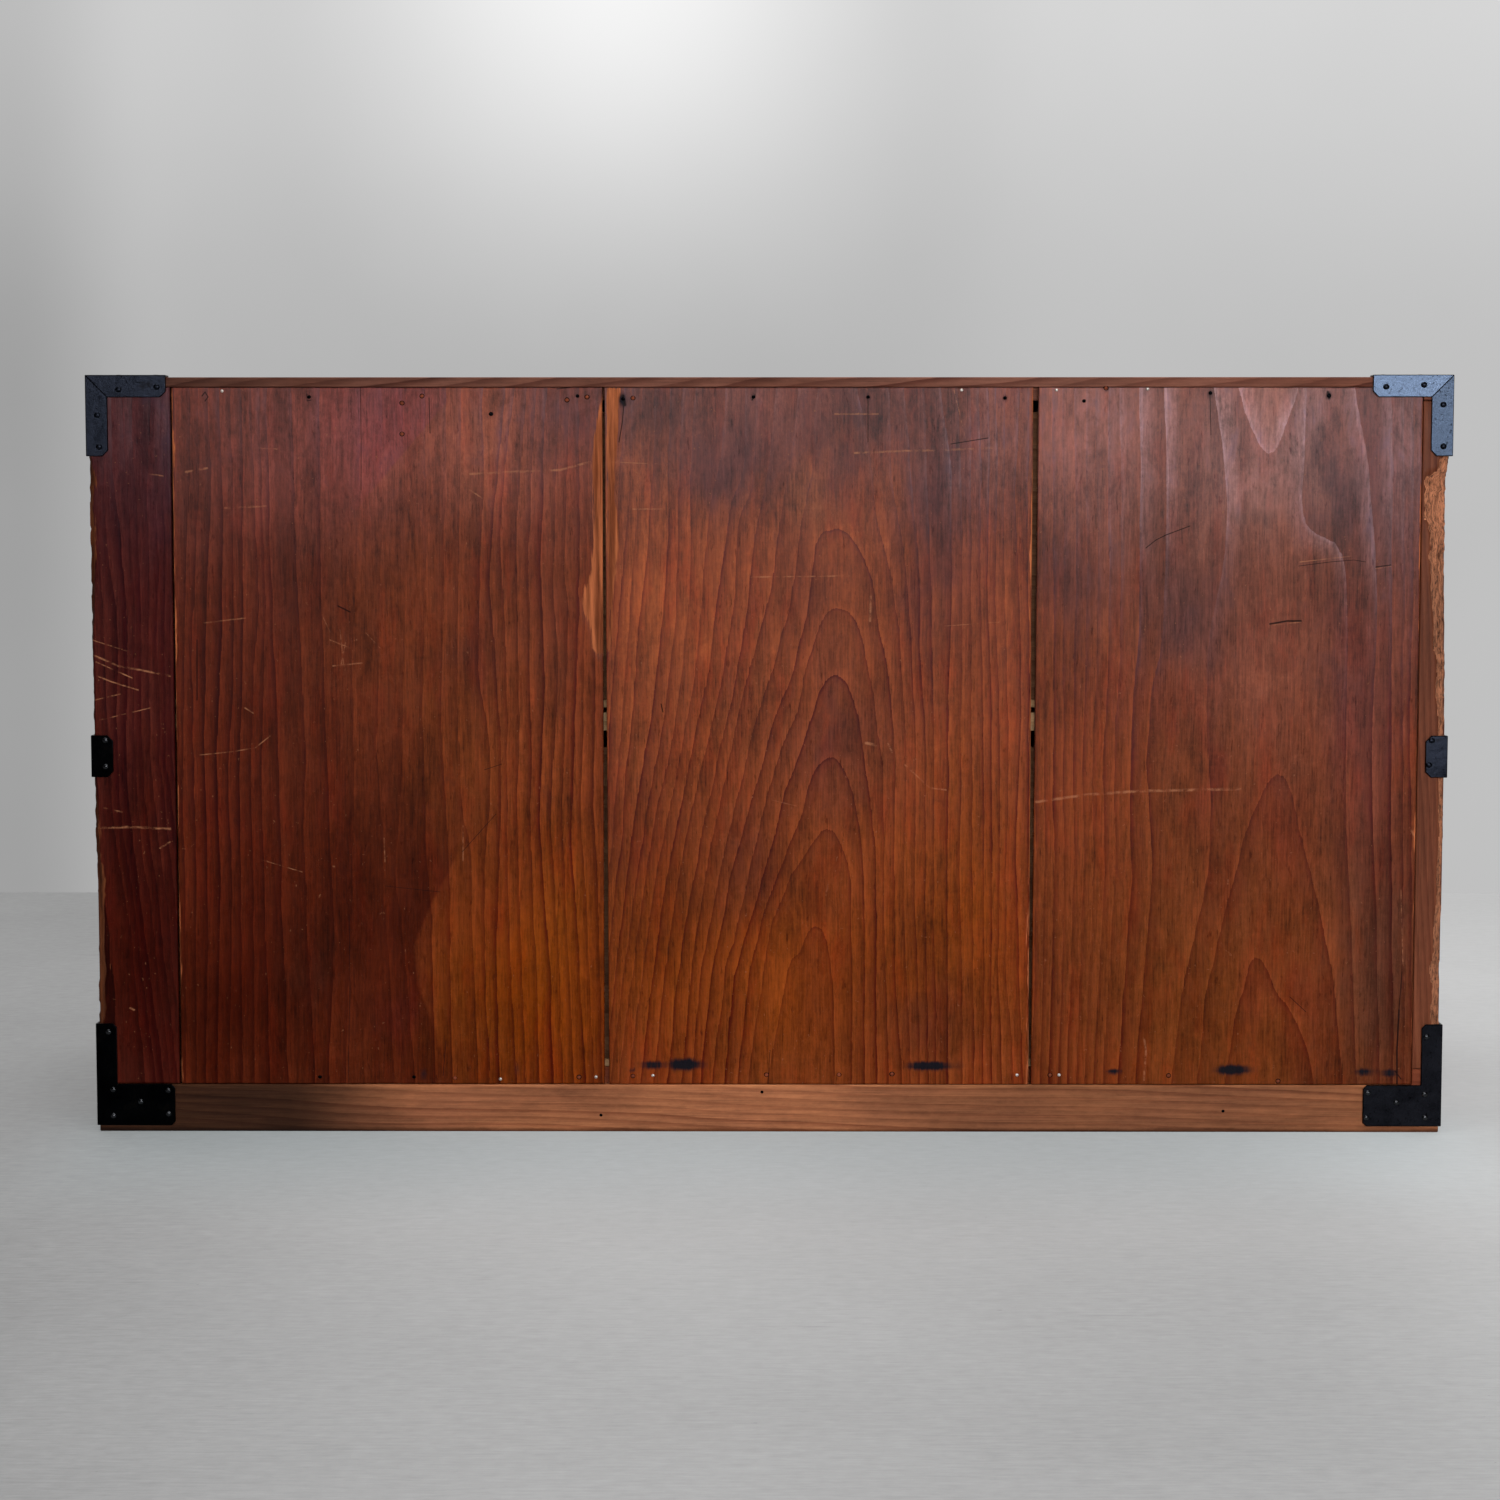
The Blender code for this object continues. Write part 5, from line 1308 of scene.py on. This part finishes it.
def cutMitre(shape, node, s):
    # the fold line from the outer to the inner corner of each top flap
    corner, inX, inY = strapCorner(node)
    along, inwards, down = Vector((inX, 0, 0)), Vector((0, inY, 0)), Vector((0, 0, -1))
    for outwards, a, b in ((-inwards, along, down), (-along, inwards, down), (-down, along, inwards)):
        across = (a - b).normalized()
        for shift in (-s["mitreHalf"], s["mitreHalf"], 0.0):
            faces = [
                f for f in shape.faces
                if f.normal.dot(outwards) > 0.99 and abs((f.verts[0].co - corner).dot(outwards)) < 2e-4]
            cut = bmesh.ops.bisect_plane(
                shape, geom=withEdges(faces), plane_co=corner + across * shift, plane_no=across, dist=1e-6)
        for v in cut["geom_cut"]:  # the last cut is the fold itself
            if isinstance(v, bmesh.types.BMVert) and (v.co - corner).length > s["mitreStart"]:
                v.co -= outwards * s["mitre"]


def strapPiece(node, s):
    look = s["looks"].get(node, "darkIron")
    nails = "wornNail" if look in ("blackIron", "sootIron") else "darkIron"
    obj = cleanCopy(node, "_iron", ironOf[look], ironOf[nails], ironOf["blackIron"])
    if "top_strap" in node:
        with opened(obj.data) as shape:
            shape.normal_update()
            cutMitre(shape, node, s)
    roundEdges(obj, s["bevel"], 2, 50)
    settle(obj, 30)
    with opened(obj.data) as shape:
        for face in shape.faces:
            face.material_index = 0 if face.calc_area() > flatArea else 2  # the rounded edges take the black iron
        for k, (place, outwards) in enumerate(nailPlaces(node)):
            height = s["height"] * (s["flush"] if outwards[2] else 1.0)
            addDome(shape, place, outwards, s["radius"], height, s["seed"] + k, slot=1)
    return placed(obj, node)


# side boards: their rear corners broken down to raw wood

wearSetup = {
    "span": (1046, 444),  # picture rows of the lowest and highest break
    "rows": 0.0034, "across": 0.0013, "inwards": 0.0022,  # spacing of the cuts
    "start": 0.0015, "reach": (0.0210, 0.0340),  # first and last cuts, from the corner
    "most": (0.0203, 0.031), "least": 0.0003,  # most width and depth lost, least width
    "rough": 0.0008, "arris": 0.0008,
    "sharp": math.radians(42),
}


def wornShape(side, z, behind, s):
    # width and depth lost on a board whose rear face lies behind the chest's by this much
    wide, deep = wornAt(side, z)
    wide = np.where(deep > behind, wide * (1 - behind / np.maximum(deep, 1e-5)), -1)
    return np.minimum(wide, s["most"][0]), np.minimum(deep - behind, s["most"][1])


def breakCorner(shape, side, y, s):
    # small faces round the rear outer corner, moved back onto the torn surface
    sign = 1 if side == "left" else -1
    low, high = (heightAt(row) for row in s["span"])
    reachX, reachY = s["reach"]

    def cutAcross(parts, place, normal):
        cut = bmesh.ops.bisect_plane(shape, geom=parts, plane_co=place, plane_no=normal, dist=1e-7)
        return cut["geom"]

    parts = withEdges(list(shape.faces))
    for z in (low, high):
        parts = cutAcross(parts, (0, 0, z), (0, 0, 1))
    cutAcross(parts, (0, y - reachY, 0), (0, 1, 0))
    zone = []
    for face in shape.faces:
        middle = face.calc_center_median()
        near = low < middle.z < high and middle.y > y - reachY
        if near and (face.normal.y > 0.3 or face.normal.x * sign > 0.3):
            zone.append(face)
    zone = withEdges(zone)
    for z in np.arange(low, high, s["rows"])[1:]:
        zone = cutAcross(zone, (0, 0, z), (0, 0, 1))
    for x in np.arange(s["start"], reachX, s["across"]):
        zone = cutAcross(zone, (sign * (sideX - x), 0, 0), (1, 0, 0))
    for inwards in np.arange(s["start"], reachY, s["inwards"]):
        zone = cutAcross(zone, (0, y - inwards, 0), (0, 1, 0))
    points = [g for g in zone if isinstance(g, bmesh.types.BMVert)]
    x, depth, z = np.array([v.co for v in points]).T
    wide, deep = wornShape(side, z, rearY - y, s)
    run = (y - depth) - (sideX - sign * x)
    share = (run + wide) / np.maximum(wide + deep, 1e-5)
    bumps = softNoise(run, z, 0.0045, 0.009, 31) + 0.7 * softNoise(run, z, 0.0021, 0.0046, 32)
    bumps = s["rough"] * (0.35 + 0.65 * bumps) * np.clip(np.minimum(share, 1 - share) * 5, 0, 1)
    newX = np.maximum(wide * (1 - share) + bumps, 0)
    newY = np.maximum(deep * share + bumps, 0)
    torn = set()
    for k in np.flatnonzero((wide > s["least"]) & (share > 0) & (share < 1)):
        points[k].co = (sign * (sideX - newX[k]), y - newY[k], z[k])
        torn.add(points[k])
    for face in shape.faces:
        if sum(v in torn for v in face.verts) >= 3:
            face.material_index = 1


def sideBoard(side, s):
    node = "side_board_" + side
    obj = cleanCopy(node, "_wood", woodOf["sideWood"], tornWood)
    roundEdges(obj, s["arris"])
    settle(obj)
    with opened(obj.data) as shape:
        breakCorner(shape, side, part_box(node)[1].y, s)
    obj.data.shade_smooth()
    obj.data.set_sharp_from_angle(angle=s["sharp"])
    return placed(obj, node)


# small nails and pegs along the back boards and the base rail

smallNails = {  # radius, height, material, picture places
    "bright": (
        0.0013, 0.0006, 1,
        "222,391 961.6,390 1056.5,390 1147.7,389 596,1077 1017,1075 1059,1075 500.5,1079 653,1075.5"),
    "dark": (
        0.0015, 0.0006, 0,
        "309,397 577.5,396 623,399 753.5,397 868,397 1005,398 1084,401 1210.4,393 320,1077 414,1077"),
    "peg": (
        0.0015, 0.0006, 2,
        "402,403 402,434 422,396 567,400 587,397 633,398 1106,388 455,1078 579,1077 633,1076"
        " 766.5,1074.6 839,1074.6 892,1074 1050,1075 1168.5,1075.5 1278,1081"),
    "hole": (0.0018, 0.0003, 0, "491,414 1329,395.6"),
    "rail": (0.0014, 0.0006, 0, "601,1115 762,1092 1223,1111"),
}
smallSetup = {
    "behind": 0.0003, "sink": 0.0012,  # how far behind the rear face they sit, and go in
    "ring": (1.35, 0.6),  # radius and height of the dirt round a peg, in shares of the peg's
    "seed": 300, "ringSeed": 400,
}


def backNails(s):
    wider, lower = s["ring"]
    shape = bmesh.new()
    for kind, (radius, height, slot, text) in smallNails.items():
        for k, (c, r) in enumerate(readLine(text)):
            place = fromPicture(c, r, rearY - s["behind"])
            addDome(shape, place, (0, 1, 0), radius, height, s["seed"] + k, s["sink"], slot)
            if kind == "peg":  # dirt in the joint round it
                addDome(shape, place, (0, 1, 0), radius * wider, height * lower, s["ringSeed"] + k, s["sink"])
    obj = newMesh("back_nails", shape, ironOf["blackIron"], ironOf["brightNail"], woodOf["rearRailWood"])
    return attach(obj, "carcass")


# the rest of the wood and iron

dressed = {  # wood, rounding of the edges, slot
    "top_board": ("topWood", 0.0011, "stained_cedar"),
    "front_base_rail": ("railWood", 0.0012, "stained_cedar"),
    "rear_base_rail": ("rearRailWood", 0.0009, "stained_cedar"),
    "floor_board": ("bareFlat", 0.0006, "stained_cedar"),
    "front_middle_rail": ("railWood", 0.0008, "stained_cedar"),
    "rear_middle_rail": ("bareAcross", 0.0006, "pale_wood"),
    "runner_left": ("bareLengthways", 0.0005, "pale_wood"),
    "runner_right": ("bareLengthways", 0.0005, "pale_wood"),
}
for drawer in ("upper_drawer", "lower_drawer"):
    dressed[drawer + "_front"] = ("drawerFrontWood", 0.0, "front_cedar")
    dressed[drawer + "_side_left"] = dressed[drawer + "_side_right"] = ("bareLengthways", 0.0006, "pale_wood")
    dressed[drawer + "_back"] = ("agedAcross", 0.0006, "pale_wood")
    dressed[drawer + "_bottom"] = ("bareFlat", 0.0004, "pale_wood")


def dressWood(node, look, arris):
    obj = cleanCopy(node, "_wood", woodOf[look])
    if arris:
        roundEdges(obj, arris)
    return placed(settle(obj), node)


def plainIron(node, arris=0, smooth=0):
    obj = cleanCopy(node, "_iron", ironOf["darkIron"])
    if arris:
        roundEdges(obj, arris, 2, 35)
    if smooth:
        soft = obj.modifiers.new("round", "SUBSURF")
        soft.levels = soft.render_levels = smooth
    return settle(obj, 40)


plateSetup = {
    "arris": 0.0003,
    "rim": (0.0297, 0.0011), "collar": (0.0138, 0.0007),  # radius, thickness
    "petals": 8, "petalReach": (0.0165, 0.0262), "swell": 0.6, "rib": 0.00045,
    "turns": 72,
    "ribSteps": 4, "ribSink": 0.0003,
    "nails": 4, "nailRing": 0.0213, "nailRadius": 0.0022, "nailHeight": 0.0013, "seed": 300,
}


def addRib(shape, middle, path, radius, s):
    # a half-round raised rib along a closed line on the plate's face
    steps = s["ribSteps"]
    path = [Vector(p) for p in path]
    rings = []
    for k, point in enumerate(path):
        along = (path[(k + 1) % len(path)] - path[k - 1]).normalized()
        sideways = Vector((along.y, -along.x))
        ring = []
        for step in range(steps + 1):
            angle = math.pi * step / steps
            flat = point + sideways * radius * math.cos(angle)
            out = radius * math.sin(angle) if 0 < step < steps else -s["ribSink"]
            ring.append(shape.verts.new(middle + Vector((flat.x, -out, flat.y))))
        rings.append(ring)
    for a, b in zip(rings, rings[1:] + rings[:1]):
        for m in range(steps + 1):
            n = (m + 1) % (steps + 1)
            shape.faces.new((a[m], b[m], b[n], a[n])).smooth = True


def lockPlate(node, s):
    # rim, collar round the keyhole, a chased flower and four nails
    obj = plainIron(node, s["arris"])
    low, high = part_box(node)
    middle = Vector(((low.x + high.x) / 2, low.y, (low.z + high.z) / 2))
    turns = [2 * math.pi * k / s["turns"] for k in range(s["turns"])]
    inner, outer = s["petalReach"]
    petals = [inner + (outer - inner) * abs(math.sin(t * s["petals"] / 2)) ** s["swell"] for t in turns]
    with opened(obj.data) as shape:
        for radii, thick in (
                ([s["rim"][0]] * s["turns"], s["rim"][1]), ([s["collar"][0]] * s["turns"], s["collar"][1]),
                (petals, s["rib"])):
            path = [(r * math.cos(t), r * math.sin(t)) for r, t in zip(radii, turns)]
            addRib(shape, middle, path, thick, s)
        for k in range(s["nails"]):
            t = 2 * math.pi * (k + 0.5) / s["nails"]
            place = middle + Vector((s["nailRing"] * math.cos(t), 0, s["nailRing"] * math.sin(t)))
            addDome(shape, place, (0, -1, 0), s["nailRadius"], s["nailHeight"], s["seed"] + k)
        bmesh.ops.recalc_face_normals(shape, faces=shape.faces)
    return placed(obj, node)


for node, s in backBoards.items():
    backSlab(node, {**boardLook, **s}, slabGrid)
print("back boards ready")
for side in ("left", "right"):
    sideBoard(side, wearSetup)
for node, (look, arris, slot) in dressed.items():
    dressWood(node, look, arris)
print("wood ready")
for node in frame["nodes"]:
    if "strap" in node or "clip" in node:
        strapPiece(node, nailSetup)
    elif node.endswith("_bail"):
        placed(plainIron(node, smooth=1), node)
    elif "_post_" in node:
        placed(plainIron(node), node)
    elif node.endswith("_lock_plate"):
        lockPlate(node, plateSetup)
    elif "lock" in node:
        placed(plainIron(node, plateSetup["arris"]), node)
backNails(smallSetup)
print("iron ready")


# floor, wall and light

floorLook = {
    "noises": {
        "cloud": ((2.2, 2.2, 2.2), 5, 0.55),
        "grain": ((90, 90, 90), 4, 0.6),
        "scuffs": ((3, 40, 1), 6, 0.7, 1.2),
        "brushed": ((40, 330, 1), 5, 0.7),
        "chips": ((75, 130, 1), 4, 0.7),
    },
    "tone": 0.200,
    "shine": 1.15,  # share it shows by itself, which keeps its shadows soft
    "away": (0.0, 1.2, 1.02, 0.74),  # painted shade, darker towards the camera: from the chest to the camera, and the tones there
    "spans": ((0.62, 0.1, 0.32), (0.05, -0.2, -0.05), (-0.30, -0.55, 0.22)),  # painted light along x, darker at the far left and paler at the right: from, to, gain
    "farLeft": 0.62,
    "cool": (0.93, 1.0, 1.02),  # painted cool tint by the chest, against the warm light its wood throws there
    "bump": 0.0006,
    "gloss": 0.15,
}
wallLook = {
    "noises": {"haze": ((2.5, 2.5, 2.5), 4, 0.5)},
    "plain": 0.465,
    "right": (-0.14, -0.37, 0.0, 0.055),  # from, to along x, and the gains there
    "farLeft": (0.76, 0.95, 0.0, -0.115),
    # painted pool of light: paler high on the wall, most in the middle
    "above": (0.62, 1.2), "aboveGain": 0.16,
    "glowMiddle": 0.186, "glow": (0.46, 0.0, 0.0, 0.31),
}
stageSetup = {
    "wallY": -1.27,
    "reach": 6, "wallTop": 5,
    "lamps": {
        "longPanel": {"place": (-0.4, 3.2, 0.98), "aim": (0.0, 0.2, 0.4), "size": (2.8, 0.4), "power": 58},
        "sidePanel": {"place": (-1.0, 3.2, 1.02), "aim": (0.0, 0.2, 0.4), "size": (0.8, 0.5), "power": 22},
        "topPanel": {"place": (0.0, 0.1, 3.2), "aim": (0.0, 0.1, 0.0), "size": (3.0, 3.0), "power": 118},
    },
    "room": (-0.4, 0.35, 0.65, 0.05),  # front and rear directions, and the light from there
    "roomSeen": 0.55,
}


def stagePlane(name, corners, material):
    mesh = bpy.data.meshes.new(name)
    mesh.from_pydata(corners, [], [(0, 1, 2, 3)])
    mesh.materials.append(material)
    obj = bpy.data.objects.new(name, mesh)
    scene.collection.objects.link(obj)


def floorMaterial(s):
    material, tree = newMaterial("paleFloor")
    place = here(tree)
    x, y, _ = axesOf(tree, place)
    noise = noisesOf(tree, place, s["noises"])
    brushed = swings(tree, noise, "brushed")[0]
    scuffs = fade(tree, noise["scuffs"], 0.66, 0.72)
    chips = fade(tree, noise["chips"], 0.70, 0.76)
    slope = times(tree, fade(tree, y, *s["away"]), s["tone"])
    spread = s["farLeft"]
    for start, end, gain in s["spans"]:
        spread = weigh(tree, spread, (fade(tree, x, start, end), gain))
    slope = times(tree, spread, slope)
    # by the chest the floor is painted paler and cooler: painted light against the chest's shadow and its
    # warm bounce
    near = times(tree, fade(tree, y, 0.60, 0.22), fade(tree, y, 0.05, 0.25))
    near = times(tree, near, fade(tree, calc(tree, "ABSOLUTE", x), 0.62, 0.46))
    slope = times(tree, weigh(tree, 1.0, (near, 0.12)), slope)
    tone = weigh(
        tree, calc(tree, "SUBTRACT", slope, 0.025), (noise["cloud"], 0.05), (noise["grain"], 0.03),
        (scuffs, -0.02), (brushed, 0.06), (chips, -0.06))
    colour = scaled(tree, mixColour(tree, near, (1.0, 1.0, 1.0), s["cool"]), tone)
    rays = tree.nodes.new("ShaderNodeLightPath")
    seen = calc(tree, "MAXIMUM", rays.outputs["Is Camera Ray"], rays.outputs["Is Glossy Ray"])
    bounce = scaled(tree, colour, fade(tree, seen, 0.0, 1.0, 1.0 + s["shine"], 1.0))
    rough = weigh(tree, 0.62, (noise["cloud"], 0.15))
    shader = finishSurface(tree, bounce, rough, noise["grain"], s["bump"], s["gloss"])
    feed(tree, shader.inputs["Emission Color"], colour)
    feed(tree, shader.inputs["Emission Strength"], times(tree, seen, s["shine"]))
    return material


def wallMaterial(s):
    # shows its own tones to the camera, painted paler high in the middle as a pool of light, and is clear
    # from behind
    material, tree = newMaterial("paleWall")
    place = here(tree)
    x, _, z = axesOf(tree, place)
    tone = calc(tree, "ADD", fade(tree, x, *s["right"]), s["plain"])
    tone = calc(tree, "ADD", fade(tree, x, *s["farLeft"]), tone)
    offMiddle = calc(tree, "ABSOLUTE", calc(tree, "SUBTRACT", x, s["glowMiddle"]))
    gain = calc(tree, "ADD", fade(tree, offMiddle, *s["glow"]), s["aboveGain"])
    haze = swings(tree, noisesOf(tree, place, s["noises"]), "haze")[0]
    tone = weigh(tree, tone, (fade(tree, z, *s["above"]), gain), (haze, 0.06))
    shine = tree.nodes.new("ShaderNodeEmission")
    feed(tree, shine.inputs["Color"], tone)
    clear = tree.nodes.new("ShaderNodeBsdfTransparent")
    either = tree.nodes.new("ShaderNodeMixShader")
    feed(tree, either.inputs[0], tree.nodes.new("ShaderNodeNewGeometry").outputs["Backfacing"])
    tree.links.new(shine.outputs[0], either.inputs[1])
    tree.links.new(clear.outputs[0], either.inputs[2])
    shownBy(tree, "ShaderNodeOutputMaterial", either)
    return material


def softLamp(name, s):
    data = bpy.data.lights.new(name, "AREA")
    data.shape, data.energy = "RECTANGLE", s["power"]
    data.size, data.size_y = s["size"]
    lamp = bpy.data.objects.new(name, data)
    lamp.location = s["place"]
    lamp.rotation_euler = (Vector(s["aim"]) - Vector(s["place"])).to_track_quat("-Z", "Y").to_euler()
    lamp.visible_camera = False
    scene.collection.objects.link(lamp)


def roomLight(s):
    # soft room light, brighter on the drawer side so the front shows too
    world = bpy.data.worlds.new("room")
    world.use_nodes = True
    tree = world.node_tree
    tree.nodes.clear()
    y = axesOf(tree, tree.nodes.new("ShaderNodeTexCoord").outputs["Generated"])[1]
    seen = tree.nodes.new("ShaderNodeMix")
    feed(tree, seen.inputs[0], tree.nodes.new("ShaderNodeLightPath").outputs["Is Camera Ray"])
    feed(tree, seen.inputs[2], fade(tree, y, *s["room"]))
    seen.inputs[3].default_value = s["roomSeen"]
    sky = tree.nodes.new("ShaderNodeBackground")
    sky.inputs["Color"].default_value = (1, 1, 1, 1)
    feed(tree, sky.inputs["Strength"], seen.outputs[0])
    shownBy(tree, "ShaderNodeOutputWorld", sky)
    scene.world = world


reach, wallY, wallTop = stageSetup["reach"], stageSetup["wallY"], stageSetup["wallTop"]
floorCorners = [(-reach, -reach, 0), (reach, -reach, 0), (reach, reach, 0), (-reach, reach, 0)]
wallCorners = [(reach, wallY, 0), (-reach, wallY, 0), (-reach, wallY, wallTop), (reach, wallY, wallTop)]
stagePlane("floor", floorCorners, floorMaterial(floorLook))
stagePlane("wall", wallCorners, wallMaterial(wallLook))
for name, s in stageSetup["lamps"].items():
    softLamp(name, s)
roomLight(stageSetup)
print("stage ready")
